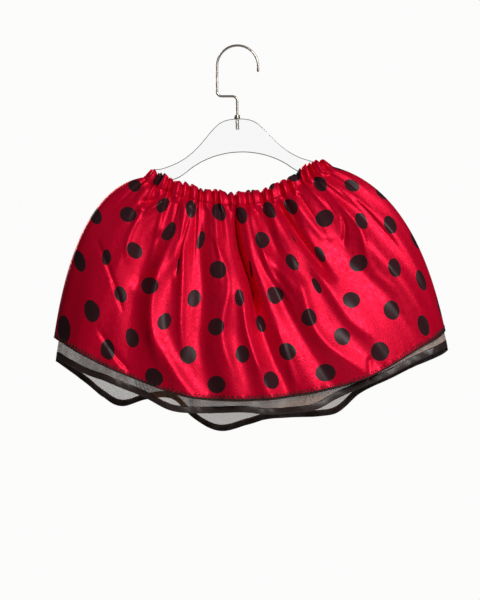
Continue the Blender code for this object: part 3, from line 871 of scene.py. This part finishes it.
def make_ribbon():
    """Brown-black satin ribbon with a fine cross rib."""
    material, tree, shader = new_finish("black_ribbon")
    flat = flat_map(tree)
    weave = {"Vector": flat, "Thread": 0.0025, "Length": 0.0005}
    floats = place_group(tree, FLOATS, weave)
    plug_in(tree, shader, {
        "Base Color": tone_colour(tree, RIBBON_BLACK, flat, 0.03, 0.25),
        "Roughness": remap(tree, floats["Fleck"], FLECK_SPAN, RIBBON_ROUGHNESS),
        "Normal": relief(tree, floats["Height"], 0.5, 0.0003),
        "Specular IOR Level": 0.6,
    })
    return material


def make_thread():
    """Matt sewing thread with a twist."""
    material, tree, shader = new_finish("black_thread")
    place = object_place(tree)
    twist = add_node(tree, "ShaderNodeTexWave", {
        "Vector": place, "Scale": 900.0, "Distortion": 1.5,
    }, bands_direction="DIAGONAL")
    plug_in(tree, shader, {
        "Base Color": tone_colour(tree, THREAD_BLACK, place, 0.01, 0.3),
        "Roughness": 0.75,
        "Normal": relief(tree, twist.outputs["Fac"], 0.4, 0.0002),
    })
    return material


def make_net():
    """Grey honeycomb net: thread where a Voronoi cell's edge is near, and holes elsewhere."""
    material, tree, shader = new_finish("grey_net")
    flat = flat_map(tree)
    cells = add_node(tree, "ShaderNodeTexVoronoi", {
        "Vector": flat, "Scale": 1.0 / NET_CELL, "Randomness": 0.35,
    }, feature="DISTANCE_TO_EDGE", voronoi_dimensions="2D")
    edge = cells.outputs["Distance"]
    plug_in(tree, shader, {
        "Base Color": tone_colour(tree, NET_GREY, flat, 0.04, 0.12),
        "Roughness": 0.6,
        "Alpha": remap(tree, edge, NET_THREAD, NET_ALPHA, "SMOOTHSTEP"),
    })
    return material


FINISHES["black_ribbon"] = make_ribbon()
FINISHES["black_thread"] = make_thread()
FINISHES["grey_net"] = make_net()
print("ribbon, thread and net ready")

# %% [markdown]
# The hanger is cast acrylic. Light goes through its faces. Its sawn and polished edges get
# painted grey shade: a dark base colour with little transmission, standing in for the darker
# room that clear edges bend the view towards. The wire and its collar are plated steel, drawn
# along its length.

# %% Acrylic and steel
CLEAR_TINT = (0.985, 0.99, 0.99)
# The edges' grey base colour is painted shade, not a colour that the clear acrylic has.
EDGE_PAINTED_SHADE = (0.20, 0.19, 0.175)
STEEL = (0.50, 0.455, 0.39)
ZINC = (0.80, 0.77, 0.72)
DRAWN_LINES = (2200.0, 2200.0, 60.0)     # fine across the wire and long down it
STEEL_ROUGHNESS = (0.20, 0.38)


def make_acrylic(name, tint, roughness, clear):
    """Clear acrylic with the faintest cloud in its gloss."""
    material, tree, shader = new_finish(name)
    cloud = {"Vector": object_place(tree), "Size": 0.02, "Amount": 0.6}
    haze = place_group(tree, TONE, cloud)["Value"]
    plug_in(tree, shader, {
        "Base Color": (*tint, 1.0),
        "Roughness": calculate(tree, "MULTIPLY", haze, roughness),
        "Transmission Weight": clear,
        "IOR": 1.49,
    })
    shadow = add_node(tree, "ShaderNodeLightPath").outputs["Is Shadow Ray"]
    pass_on = add_node(tree, "ShaderNodeBsdfTransparent").outputs[0]
    sockets = {0: shadow, 1: shader.outputs[0], 2: pass_on}
    blend = add_node(tree, "ShaderNodeMixShader", sockets)
    plug_in(tree, tree.nodes["Material Output"], {"Surface": blend.outputs[0]})
    return material


def make_steel(name, tint, metallic):
    """Drawn and plated wire, or duller zinc."""
    material, tree, shader = new_finish(name)
    place = object_place(tree)
    drawn = add_node(tree, "ShaderNodeMapping", {"Vector": place, "Scale": DRAWN_LINES})
    lines = add_noise(tree, drawn.outputs[0], 1.0, 2.0, 0.5)
    plug_in(tree, shader, {
        "Base Color": tone_colour(tree, tint, place, 0.012, 0.12),
        "Roughness": remap(tree, lines, ALL, STEEL_ROUGHNESS),
        "Metallic": metallic,
        "Normal": relief(tree, lines, 0.15, 0.0001),
    })
    return material


FINISHES["clear_face"] = make_acrylic("clear_face", CLEAR_TINT, 0.01, 1.0)
FINISHES["clear_edge_painted_shade"] = make_acrylic("clear_edge_painted_shade", EDGE_PAINTED_SHADE, 0.15, 0.25)
FINISHES["bright_steel"] = make_steel("bright_steel", STEEL, 1.0)
FINISHES["dull_zinc"] = make_steel("dull_zinc", ZINC, 0.2)
print(len(FINISHES), "finishes")

# %% [markdown]
# ## Making cloth pieces
# Each cloth piece starts as a grid primitive, whose points are moved to their places by a
# surface function. That keeps the threads and the mesh in the same lines. The faces of the
# back panels are flipped, so that all look outwards, and Solidify gives a thin wall.

# %% Cloth tools


def add_grid(name, columns, rows):
    """A flat grid primitive, with each point's column and row share."""
    bpy.ops.object.select_all(action="DESELECT")
    bpy.ops.mesh.primitive_grid_add(x_subdivisions=columns, y_subdivisions=rows, size=1.0)
    obj = bpy.context.active_object
    obj.name = name
    obj.data.name = name
    places = np.zeros(len(obj.data.vertices) * 3)
    obj.data.vertices.foreach_get("co", places)
    places = places.reshape(-1, 3)
    return obj, places[:, 0] + 0.5, 0.5 - places[:, 1]


def move_points(obj, x, y, z):
    """Moves the mesh's points to places in mm."""
    obj.data.vertices.foreach_set("co", (np.stack([x, y, z], axis=1) * MM).ravel())
    obj.data.update()


def lay_flat_map(obj, flat):
    """Writes each point's place in the flat cloth into the UV map."""
    layer = obj.data.uv_layers[0]
    layer.name = "flat_cloth"
    corner = np.zeros(len(obj.data.loops), int)
    obj.data.loops.foreach_get("vertex_index", corner)
    layer.data.foreach_set("uv", flat[corner].ravel())


def write_widths(obj, widths):
    """Writes the dots' width at each point into a mesh attribute."""
    layer = obj.data.attributes.new("dot_width", "FLOAT", "POINT")
    layer.data.foreach_set("value", widths)


def make_active(obj):
    """Selects one object alone."""
    bpy.ops.object.select_all(action="DESELECT")
    obj.select_set(True)
    bpy.context.view_layer.objects.active = obj


def flip_faces(obj):
    """Turns all faces round, for a piece that looks to the back."""
    make_active(obj)
    bpy.ops.object.mode_set(mode="EDIT")
    bpy.ops.mesh.select_all(action="SELECT")
    bpy.ops.mesh.flip_normals()
    bpy.ops.object.mode_set(mode="OBJECT")


def clean_mesh(obj, distance):
    """Merges points that meet, and turns all faces outwards."""
    make_active(obj)
    bpy.ops.object.mode_set(mode="EDIT")
    bpy.ops.mesh.select_all(action="SELECT")
    bpy.ops.mesh.remove_doubles(threshold=distance)
    bpy.ops.mesh.normals_make_consistent(inside=False)
    bpy.ops.object.mode_set(mode="OBJECT")


def apply_wall(obj, thickness):
    """A thin wall on both sides of the sheet."""
    make_active(obj)
    wall = obj.modifiers.new("wall", "SOLIDIFY")
    wall.thickness = thickness * MM
    wall.offset = 0.0
    bpy.ops.object.modifier_apply(modifier="wall")


def finish_piece(obj, finish, nodes=()):
    """Smooth shading, finish, the nodes it stands for (hidden), and the body it rides on."""
    obj.data.materials.clear()
    obj.data.materials.append(FINISHES[finish])
    obj.data.shade_smooth()
    if nodes:
        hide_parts(*nodes)
    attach(obj, BODY)
    triangles = sum(len(face.vertices) - 2 for face in obj.data.polygons)
    print(obj.name, triangles, "triangles")


SIDES = {"front": -1, "back": 1}
print("cloth tools ready")

# %% [markdown]
# ## Satin panels
# The front gets the finer grid, because it is looked at. Two millimetres between its columns
# are enough for creases of five millimetres and more, and both walls together stay under
# 200,000 triangles.

# %% Make the satin panels
SATIN_GRID = {"front": (360, 132), "back": (300, 100)}
SATIN_WALL = 0.5


def make_panel(place):
    """One satin panel, from the stitch line to the hem."""
    side = SIDES[place]
    obj, share, down = add_grid("satin_panel_" + place, *SATIN_GRID[place])
    move_points(obj, *satin_point(share, down, side))
    fall = satin_fall(share, down)
    lay_flat_map(obj, flat_place(share, fall, side))
    write_widths(obj, dot_width(seen_share(share, side), fall))
    if side > 0:
        flip_faces(obj)
    apply_wall(obj, SATIN_WALL)
    finish_piece(obj, "red_satin_" + place, ["satin_" + place])
    return obj


for place_name in SIDES:
    make_panel(place_name)

# %% [markdown]
# ## Casing
# The casing is the top of the same cloth, folded over a flat elastic and sewn down. So its
# section is a closed loop: up the outside, over the top edge and down the inside. The grid's
# rows run round that loop, and its first and last row are merged at the stitch line.

# %% Make the casings
CASING_GRID = (620, 18)
CASING_THICK = 2.4
CASING_SET_IN = 0.2       # share of the thickness by which the loop's middle is moved in
CASING_MERGE = 0.00002
CASING_EDGE = 0.15        # mm that the loop's ends stay above the stitch line
SECTION_POWER = 0.6       # makes the section squarer than a round tube
THIN_SHARE = 0.35         # of the thickness that is left at the side seams


def casing_loop(share, around, side):
    """A point of the casing's closed section: around runs from the stitch line and back."""
    angle = 2.0 * math.pi * around
    fall = STITCH_FALL * (0.5 + 0.5 * np.cos(angle))
    fall = np.minimum(fall, STITCH_FALL - CASING_EDGE / CLOTH_LENGTH)
    x, y, z = casing_point(share, fall, side)
    bend = np.sign(np.sin(angle)) * np.abs(np.sin(angle)) ** SECTION_POWER
    full = THIN_SHARE + (1.0 - THIN_SHARE) * side_fade(share)
    thick = CASING_THICK * full * roundness(share, fall)
    return x, y + side * (0.5 * thick * bend - CASING_SET_IN * thick), z


def make_casing(place):
    """One casing, gathered on its elastic."""
    side = SIDES[place]
    obj, share, around = add_grid("casing_" + place + "_cloth", *CASING_GRID)
    move_points(obj, *casing_loop(share, around, side))
    outside = around < 0.5
    fall = STITCH_FALL * (0.5 + 0.5 * np.cos(2.0 * math.pi * around))
    flat = flat_place(share, fall, side)
    flat[:, 1] = np.where(outside, flat[:, 1], flat[:, 1] - 2.0 * fall * CLOTH_LENGTH * MM)
    lay_flat_map(obj, flat)
    write_widths(obj, dot_width(seen_share(share, side), fall))
    clean_mesh(obj, CASING_MERGE)
    finish_piece(obj, "red_satin_" + place, ["casing_" + place])
    return obj


for place_name in SIDES:
    make_casing(place_name)

# %% [markdown]
# ## Net and ribbon
# The net hangs from the casing's seam, close inside the satin at first and clear of its folds
# further down. Only its last few centimetres show. How far its ribbon hangs below the front
# hem is a table again, one column for the front and one for the back, because the two wavy
# edges cross in the picture.

# %% Net surface
NET_INSET = 0.022
NET_INSET_HEM = 0.012
NET_CLEAR_TOP = 6.8
NET_CLEAR = 18.0
NET_WAVES = 7
NET_WAVE_HEIGHT = 4.0
NET_WAVE_START = 0.6
NET_FREED = 0.35          # fall at which the net no longer follows the satin
NET_DROP = table("share front back", (
    (0.000, 22.0, 28.0),
    (0.088, 21.0, 35.0),
    (0.145, 17.0, 41.0),
    (0.212, 16.5, 40.0),
    (0.255, 17.0, 17.0),
    (0.305, 22.5, 4.0),
    (0.345, 20.0, 24.0),
    (0.392, 17.0, 40.0),
    (0.455, 15.6, 31.0),
    (0.495, 19.5, 24.0),
    (0.560, 22.0, 25.0),
    (0.615, 21.5, 31.0),
    (0.640, 15.0, 32.0),
    (0.695, 7.0, 13.0),
    (0.770, 9.6, 13.0),
    (0.880, 14.0, 20.0),
    (1.000, 18.0, 24.0),
))


def net_fall(share, down, side):
    """Fall of a net point: down is 0 at the seam, 1 at the ribbon and 2 at the edge."""
    drop = curve_through(share, NET_DROP["share"], NET_DROP["front" if side < 0 else "back"])
    length = line_length(share)
    start = STITCH_FALL + SEAM_GAP / CLOTH_LENGTH
    ribbon_top = 1.0 + (drop - RIBBON_WIDTH / 2) / length
    edge = 1.0 + (drop + RIBBON_WIDTH / 2) / length
    above = start + (ribbon_top - start) * np.clip(down, 0.0, 1.0)
    return above + (edge - ribbon_top) * np.clip(down - 1.0, 0.0, 1.0)


def net_point(share, down, side):
    """Place of a net point, inside the satin."""
    fall = net_fall(share, down, side)
    inset = NET_INSET + (NET_INSET_HEM - NET_INSET) * np.clip(fall, 0.0, 1.0)
    inner = inset + (1.0 - 2.0 * inset) * share
    x, z = hang_point(inner, fall)
    freed = smooth(STITCH_FALL, NET_FREED, fall)
    clear = NET_CLEAR_TOP + (NET_CLEAR - NET_CLEAR_TOP) * freed
    hugging = (1.0 - freed) * fold_drape(inner, fall, side)
    hugging = hugging + np.minimum(creases(seen_share(inner, side), fall), 0.0)
    swing = np.sin(2.0 * math.pi * NET_WAVES * share + NET_WAVE_START)
    waves = NET_WAVE_HEIGHT * freed * swing
    depth = skirt_depth(fall, side) - clear + side_fade(share) * (hugging + waves)
    level = np.minimum(fall, 1.0)
    y = stand_out(depth, inner, level, side, inset)
    return x, y, z - lower_back(share, level, side)


print("net surface ready")

# %% Make the net and the ribbons
NET_GRID = (240, 84)
NET_END = 1.15            # the net is trimmed just inside its ribbon
RIBBON_GRID = (420, 6)
RIBBON_WALL = 0.45
RIBBON_OUT = 1.3          # from the middle of the net's wall to the ribbon's
RIBBON_CROWN = 0.35
RIBBON_PUCKER = 0.45
RIBBON_PUCKERS = 31
RIBBON_SEAM_SHARE = 0.3   # of the way out that is left at the side seams


def ribbon_point(share, width_share, side):
    """Place of a ribbon point, moved out from the net and a little puckered by its seams."""
    x, y, z = net_point(share, 1.0 + width_share, side)
    off_middle = 2.0 * width_share - 1.0
    crown = RIBBON_CROWN * (1.0 - off_middle**2)
    pucker = RIBBON_PUCKER * np.sin(2.0 * math.pi * turns(share, RIBBON_PUCKERS)) * off_middle
    full = RIBBON_SEAM_SHARE + (1.0 - RIBBON_SEAM_SHARE) * side_fade(share)
    out = (RIBBON_OUT + crown + pucker) * full
    return x, y + side * out, z


def make_net_panel(place):
    """One net panel, a single sheet with its holes in the finish."""
    side = SIDES[place]
    obj, share, row = add_grid("net_panel_" + place, *NET_GRID)
    down = NET_END * row
    move_points(obj, *net_point(share, down, side))
    fall = net_fall(share, down, side)
    lay_flat_map(obj, np.stack([share * CLOTH_WIDTH, fall * CLOTH_LENGTH], axis=1) * MM)
    if side > 0:
        flip_faces(obj)
    finish_piece(obj, "grey_net", ["net_" + place])
    return obj


def make_ribbon_strip(place):
    """The ribbon along one net edge."""
    side = SIDES[place]
    obj, share, across = add_grid("ribbon_" + place + "_strip", *RIBBON_GRID)
    move_points(obj, *ribbon_point(share, across, side))
    lay_flat_map(obj, np.stack([share * CLOTH_WIDTH, across * RIBBON_WIDTH], axis=1) * MM)
    if side > 0:
        flip_faces(obj)
    apply_wall(obj, RIBBON_WALL)
    finish_piece(obj, "black_ribbon", ["ribbon_" + place])
    return obj


for place_name in SIDES:
    make_net_panel(place_name)
    make_ribbon_strip(place_name)

# %% [markdown]
# ## Overlocked hem
# The raw edge is bound by an overlock machine: black loops go up and down beside the edge,
# and a looper thread runs along it. One curve zigzags over the edge, in coarser steps than the
# machine's, which still read as stitches from a step away, and another follows the edge. Both
# are made meshes. A few thread ends were left hanging, and get a curve each.

# %% Thread tools
NORMAL_STEP = 0.0015      # share over which the cloth's slope is measured


def out_of(point, share, down, side, distance):
    """A point of a cloth surface moved out along the surface's normal."""
    here = np.stack(point(share, down, side), axis=1)
    aside = np.stack(point(share + NORMAL_STEP, down, side), axis=1) - here
    below = np.stack(point(share, down - NORMAL_STEP, side), axis=1) - here
    normal = np.cross(aside, below) * -side
    normal /= np.linalg.norm(normal, axis=1, keepdims=True)
    return here + normal * np.asarray(distance)[:, None]


def curve_to_mesh(name, curve):
    """Makes a curve a mesh object."""
    obj = bpy.data.objects.new(name, curve)
    bpy.context.scene.collection.objects.link(obj)
    make_active(obj)
    bpy.ops.object.convert(target="MESH")
    return bpy.context.active_object


def add_tube(name, points, radius, resolution=0, widths=None):
    """A tube through points in mm, as a mesh."""
    curve = bpy.data.curves.new(name, "CURVE")
    curve.dimensions = "3D"
    curve.bevel_depth = radius * MM
    curve.bevel_resolution = resolution
    curve.use_fill_caps = True
    spline = curve.splines.new("POLY")
    spline.points.add(len(points) - 1)
    for knot, place, width in zip(spline.points, points, widths or [1.0] * len(points)):
        knot.co = (*(place * MM), 1.0)
        knot.radius = width
    return curve_to_mesh(name, curve)


def join_pieces(pieces, name):
    """Joins several meshes into one."""
    make_active(pieces[0])
    for piece in pieces[1:]:
        piece.select_set(True)
    bpy.ops.object.join()
    pieces[0].name = name
    pieces[0].data.name = name
    return pieces[0]


print("thread tools ready")

# %% Sew the hem
STITCH_PITCH = 6.2
STITCH_REACH = 4.8
STITCH_TURN = -0.1        # how far below the edge a stitch turns back
HIGH_LIFT = 0.55          # from the satin's middle to a stitch on it
LOW_LIFT = 0.4
THREAD_RADIUS = 0.72
EDGE_THREAD_RADIUS = 0.95
EDGE_SAG = 0.25           # mm that the looper thread lies below the edge
STITCH_WAVES = ((0.16, 1.7, 0.0), (0.1, 0.53, 0.0))
HEM_THREADS = {}


def sew_hem(place):
    """Looper thread and zigzag along one hem."""
    side = SIDES[place]
    count = int(CLOTH_WIDTH / STITCH_PITCH)
    step = np.arange(4 * count)
    share = np.linspace(0.002, 0.996, 4 * count)
    is_up = (step % 4 == 1) | (step % 4 == 2)
    uneven = 1.0 + uneven_waves(step, STITCH_WAVES)
    up = np.where(is_up, STITCH_REACH * uneven, STITCH_TURN) / (CLOTH_LENGTH - CASING_HEIGHT)
    lift = np.where(is_up, HIGH_LIFT, LOW_LIFT)
    zigzag = out_of(satin_point, share, 1.0 - up, side, lift)
    edge_share = np.linspace(0.001, 0.997, 3 * count)
    wobble = 0.15 + 0.2 * np.sin(2.3 * np.arange(3 * count))
    edge = out_of(satin_point, edge_share, np.full(3 * count, 1.0), side, wobble)
    edge[:, 2] -= EDGE_SAG
    return join_pieces([
        add_tube("zigzag_" + place, zigzag, THREAD_RADIUS),
        add_tube("looper_" + place, edge, EDGE_THREAD_RADIUS),
    ], "hem_stitches_" + place)


# %% Leave loose ends
LOOSE_RADIUS = 0.38
LOOSE_BOW = 1.5
LOOSE_ENDS = table("share length lean", (
    (0.238, 15.0, 3.0),
    (0.252, 13.0, 4.5),
    (0.347, 13.0, 0.5),
    (0.598, 16.0, -5.0),
    (0.607, 10.0, 2.0),
))


def loose_end(number, side):
    """A short thread that hangs from the overlocking."""
    share = LOOSE_ENDS["share"][number]
    down = np.linspace(0.0, 1.0, 6)
    start = out_of(satin_point, np.array([share]), np.array([1.0]), side, [0.5])[0]
    aside = LOOSE_ENDS["lean"][number] * down**1.5
    forward = side * LOOSE_BOW * np.sin(math.pi * down)
    points = np.stack([aside, forward, -LOOSE_ENDS["length"][number] * down], axis=1)
    return add_tube("loose_end", start + points, LOOSE_RADIUS)


for place_name, side_number in SIDES.items():
    HEM_THREADS[place_name] = sew_hem(place_name)
    ends = [loose_end(number, side_number) for number in range(len(LOOSE_ENDS["share"]))]
    join_pieces([HEM_THREADS[place_name]] + ends, "hem_stitches_" + place_name)
    finish_piece(HEM_THREADS[place_name], "black_thread")

# %% [markdown]
# ## Hanger plate
# The plate was cut from clear sheet and its edges were polished. Its outline is a closed curve
# through a few points, mirrored about the middle. It is filled and given its thickness, its
# front and back are made one face each, so that the bevel runs clean, and a turned drill cuts
# the blind hole. Only the bevels and the edge walls take the finish with painted grey shade.

# %% Turning tools
MERGE_DISTANCE = 0.00001
TURN_STEPS = 32
PLATE_TOP = -108.3
HANGER_X = -0.6
HANGER_TILT = 2.4
HANGER_PLACE = Matrix.Translation(Vector((HANGER_X, 0.0, PLATE_TOP)) * MM) @ Matrix.Rotation(
    math.radians(-HANGER_TILT), 4, "Y"
)


def settle(obj, place):
    """Gives a mesh its place, and leaves the object at the origin."""
    obj.data.transform(place @ obj.matrix_world)
    obj.matrix_world = Matrix.Identity(4)


def turn_profile(name, profile):
    """A profile of radius and height in mm, turned about the vertical axis."""
    bpy.ops.object.select_all(action="DESELECT")
    bpy.ops.mesh.primitive_circle_add(vertices=3, radius=0.001)
    obj = bpy.context.active_object
    obj.name = name
    points = [(radius * MM, 0.0, height * MM) for radius, height in profile]
    obj.data.clear_geometry()
    obj.data.from_pydata(points, [(i, i + 1) for i in range(len(points) - 1)], [])
    screw = obj.modifiers.new("turn", "SCREW")
    screw.steps = TURN_STEPS
    screw.render_steps = TURN_STEPS
    screw.use_merge_vertices = True
    screw.merge_threshold = MERGE_DISTANCE
    bpy.ops.object.modifier_apply(modifier="turn")
    clean_mesh(obj, MERGE_DISTANCE)
    return obj


print("hanger leans", HANGER_TILT, "degrees")

# %% Cut the plate
PLATE_THICK = 8.0
PLATE_EDGE = 0.8
PLATE_HALF = (
    (12.0, -0.7), (25.0, -4.8), (37.0, -14.4), (51.0, -29.8), (66.5, -45.3),
    (85.5, -58.6), (104.5, -66.6), (118.0, -70.4), (129.4, -71.9), (135.0, -77.5),
    (129.4, -83.1), (118.0, -85.8), (105.0, -87.6), (93.0, -85.2), (81.0, -78.4),
    (69.0, -69.8), (48.0, -59.2), (25.0, -52.6),
)
PLATE_ARCH = -50.2
FACE_ON = 0.99            # a face this square to Y is the plate's front or back
BEVEL_ANGLE = 50
SHARP_ANGLE = 20


def plate_sheet():
    """The outline, filled and given its thickness."""
    curve = bpy.data.curves.new("clear_plate", "CURVE")
    curve.dimensions = "2D"
    curve.fill_mode = "BOTH"
    curve.extrude = PLATE_THICK / 2 * MM
    curve.resolution_u = 10
    outline = [(0.0, 0.0)] + list(PLATE_HALF) + [(0.0, PLATE_ARCH)]
    outline += [(-x, z) for x, z in reversed(PLATE_HALF)]
    spline = curve.splines.new("BEZIER")
    spline.bezier_points.add(len(outline) - 1)
    for knot, (x, z) in zip(spline.bezier_points, outline):
        knot.co = (x * MM, z * MM, 0.0)
        knot.handle_left_type = "AUTO"
        knot.handle_right_type = "AUTO"
    spline.use_cyclic_u = True
    obj = curve_to_mesh("clear_plate", curve)
    clean_mesh(obj, MERGE_DISTANCE)
    settle(obj, Matrix.Rotation(math.pi / 2, 4, "X"))
    return obj


def dissolve_flats(obj):
    """Makes the front and the back one face each, so that the bevel runs clean."""
    bpy.ops.object.mode_set(mode="EDIT")
    bpy.ops.mesh.select_mode(type="FACE")
    bpy.ops.mesh.select_all(action="DESELECT")
    bpy.ops.object.mode_set(mode="OBJECT")
    for face in obj.data.polygons:
        face.select = abs(face.normal.y) > FACE_ON
    bpy.ops.object.mode_set(mode="EDIT")
    bpy.ops.mesh.dissolve_faces()
    bpy.ops.mesh.select_mode(type="VERT")
    bpy.ops.object.mode_set(mode="OBJECT")


def bevel_edges(obj):
    """The polished edge."""
    rim = obj.modifiers.new("polished_edge", "BEVEL")
    rim.width = PLATE_EDGE * MM
    rim.segments = 3
    rim.use_clamp_overlap = False
    rim.limit_method = "ANGLE"
    rim.angle_limit = math.radians(BEVEL_ANGLE)
    bpy.ops.object.modifier_apply(modifier="polished_edge")


clear_plate = plate_sheet()
dissolve_flats(clear_plate)
print("plate faces before its bevel:", len(clear_plate.data.polygons))
bevel_edges(clear_plate)

# %% Drill and finish the plate
STUD_RADIUS = 2.35
STUD_LENGTH = 16.0
FIT_GAP = 0.3
DRILL_TOP = 5.0


def drill_plate(obj):
    """Drills the blind hole for the stud."""
    radius = STUD_RADIUS + FIT_GAP
    depth = -STUD_LENGTH - FIT_GAP
    profile = ((0.0, DRILL_TOP), (radius, DRILL_TOP), (radius, depth), (0.0, depth))
    hole = turn_profile("drill", profile)
    make_active(obj)
    cut = obj.modifiers.new("drill", "BOOLEAN")
    cut.operation = "DIFFERENCE"
    cut.object = hole
    bpy.ops.object.modifier_apply(modifier="drill")
    bpy.data.objects.remove(hole)


drill_plate(clear_plate)
settle(clear_plate, HANGER_PLACE)
finish_piece(clear_plate, "clear_face", ["hanger_plate"])
# The bevels and edge walls get the second finish, whose grey is painted shade.
clear_plate.data.materials.append(FINISHES["clear_edge_painted_shade"])
for face in clear_plate.data.polygons:
    face.material_index = 0 if abs(face.normal.y) > FACE_ON else 1
clear_plate.data.set_sharp_from_angle(angle=math.radians(SHARP_ANGLE))
for face in clear_plate.data.polygons:
    face.use_smooth = face.material_index == 1
edge_area = sum(face.area for face in clear_plate.data.polygons if face.material_index)
print("plate", [round(v, 3) for v in clear_plate.dimensions])
print("polished edges", round(edge_area * 1e6), "square mm")

# %% [markdown]
# ## Collar, stud and hook
# The collar and its threaded stud were turned from one bar, so they are one profile, with the
# thread as a row of small ridges. The hook is one wire with two square bends and a half circle
# over the rail. A curve with a round bevel is the natural way, and its tip is rounded by
# making the wire thinner over its last millimetres.

# %% Turn the collar
COLLAR_RADIUS = 4.5
COLLAR_HEIGHT = 5.4
SOCKET_DEPTH = 3.0
WIRE_RADIUS = 1.75
THREAD_PITCH = 1.0
THREAD_DEPTH = 0.45
COLLAR_SHARP_ANGLE = 35


def collar_profile():
    """Radius and height of the collar and its threaded stud, from the socket to the tip."""
    socket = WIRE_RADIUS + FIT_GAP
    top = FIT_GAP + COLLAR_HEIGHT
    profile = [
        (0.0, top - SOCKET_DEPTH), (socket, top - SOCKET_DEPTH), (socket, top),
        (COLLAR_RADIUS - 0.9, top), (COLLAR_RADIUS - 0.4, top - 0.2), (COLLAR_RADIUS, top - 0.8),
        (COLLAR_RADIUS, top - 2.0), (COLLAR_RADIUS - 0.5, top - 2.3),
        (COLLAR_RADIUS - 0.5, top - 2.8), (COLLAR_RADIUS, top - 3.1),
        (COLLAR_RADIUS, FIT_GAP + 0.6), (COLLAR_RADIUS - 0.5, FIT_GAP),
        (STUD_RADIUS, FIT_GAP), (STUD_RADIUS, -1.0),
    ]
    height = -1.0
    while height - THREAD_PITCH > 1.0 - STUD_LENGTH:
        profile.append((STUD_RADIUS - THREAD_DEPTH, height - 0.5 * THREAD_PITCH))
        profile.append((STUD_RADIUS, height - THREAD_PITCH))
        height -= THREAD_PITCH
    profile.append((STUD_RADIUS - 1.0, -STUD_LENGTH))
    profile.append((0.0, -STUD_LENGTH))
    return profile


collar = turn_profile("collar_and_stud", collar_profile())
settle(collar, HANGER_PLACE)
finish_piece(collar, "bright_steel", ["hanger_collar"])
collar.data.materials.append(FINISHES["dull_zinc"])
for face in collar.data.polygons:
    face.material_index = 1 if face.center.z < PLATE_TOP * MM else 0
collar.data.set_sharp_from_angle(angle=math.radians(COLLAR_SHARP_ANGLE))

# %% Bend the hook
HOOK_RADIUS = 30.75
HOOK_TIP_DROP = 9.0
SHANK_LEVEL = -74.5
BEND_RADIUS = 7.0
TIP_STEPS = 6
TIP_WIDTH = 0.02          # share of the wire's width that is left at the tip's end


def arc_points(centre, radius, start, end, steps):
    """Points of an arc in the XZ plane, angles in degrees from +X towards +Z."""
    angles = [math.radians(start + (end - start) * i / steps) for i in range(steps + 1)]
    return [(centre[0] + radius * math.cos(a), centre[1] + radius * math.sin(a)) for a in angles]


def bend_hook():
    """The wire, from the collar's socket over the rail to its round tip."""
    foot = PLATE_TOP + FIT_GAP + COLLAR_HEIGHT - SOCKET_DEPTH + FIT_GAP
    middle = WIRE_RADIUS - HOOK_RADIUS
    near = (HANGER_X - BEND_RADIUS, SHANK_LEVEL - BEND_RADIUS)
    far = (BEND_RADIUS - HOOK_RADIUS, SHANK_LEVEL + BEND_RADIUS)
    route = [(HANGER_X, foot)]
    route += arc_points(near, BEND_RADIUS, 0, 90, 12)
    route += arc_points(far, BEND_RADIUS, 270, 180, 12)
    route += arc_points((0.0, middle), HOOK_RADIUS, 180, 0, 64)
    tip = middle - HOOK_TIP_DROP + WIRE_RADIUS
    angles = [0.5 * math.pi * i / TIP_STEPS for i in range(TIP_STEPS + 1)]
    route += [(HOOK_RADIUS, tip - WIRE_RADIUS * math.sin(a)) for a in angles]
    widths = [1.0] * (len(route) - len(angles)) + [max(math.cos(a), TIP_WIDTH) for a in angles]
    points = np.array([(x, 0.0, z) for x, z in route])
    return add_tube("wire_hook", points, WIRE_RADIUS, 6, widths)


hook = bend_hook()
finish_piece(hook, "bright_steel", ["hanger_hook"])

# %% [markdown]
# ## The cloth pieces
# All cloth pieces are made above: two satin panels with their casings, and two net panels with
# their ribbons. The casing is the top of the satin's cloth and the ribbon is sewn on the net.

print("cloth pieces made")
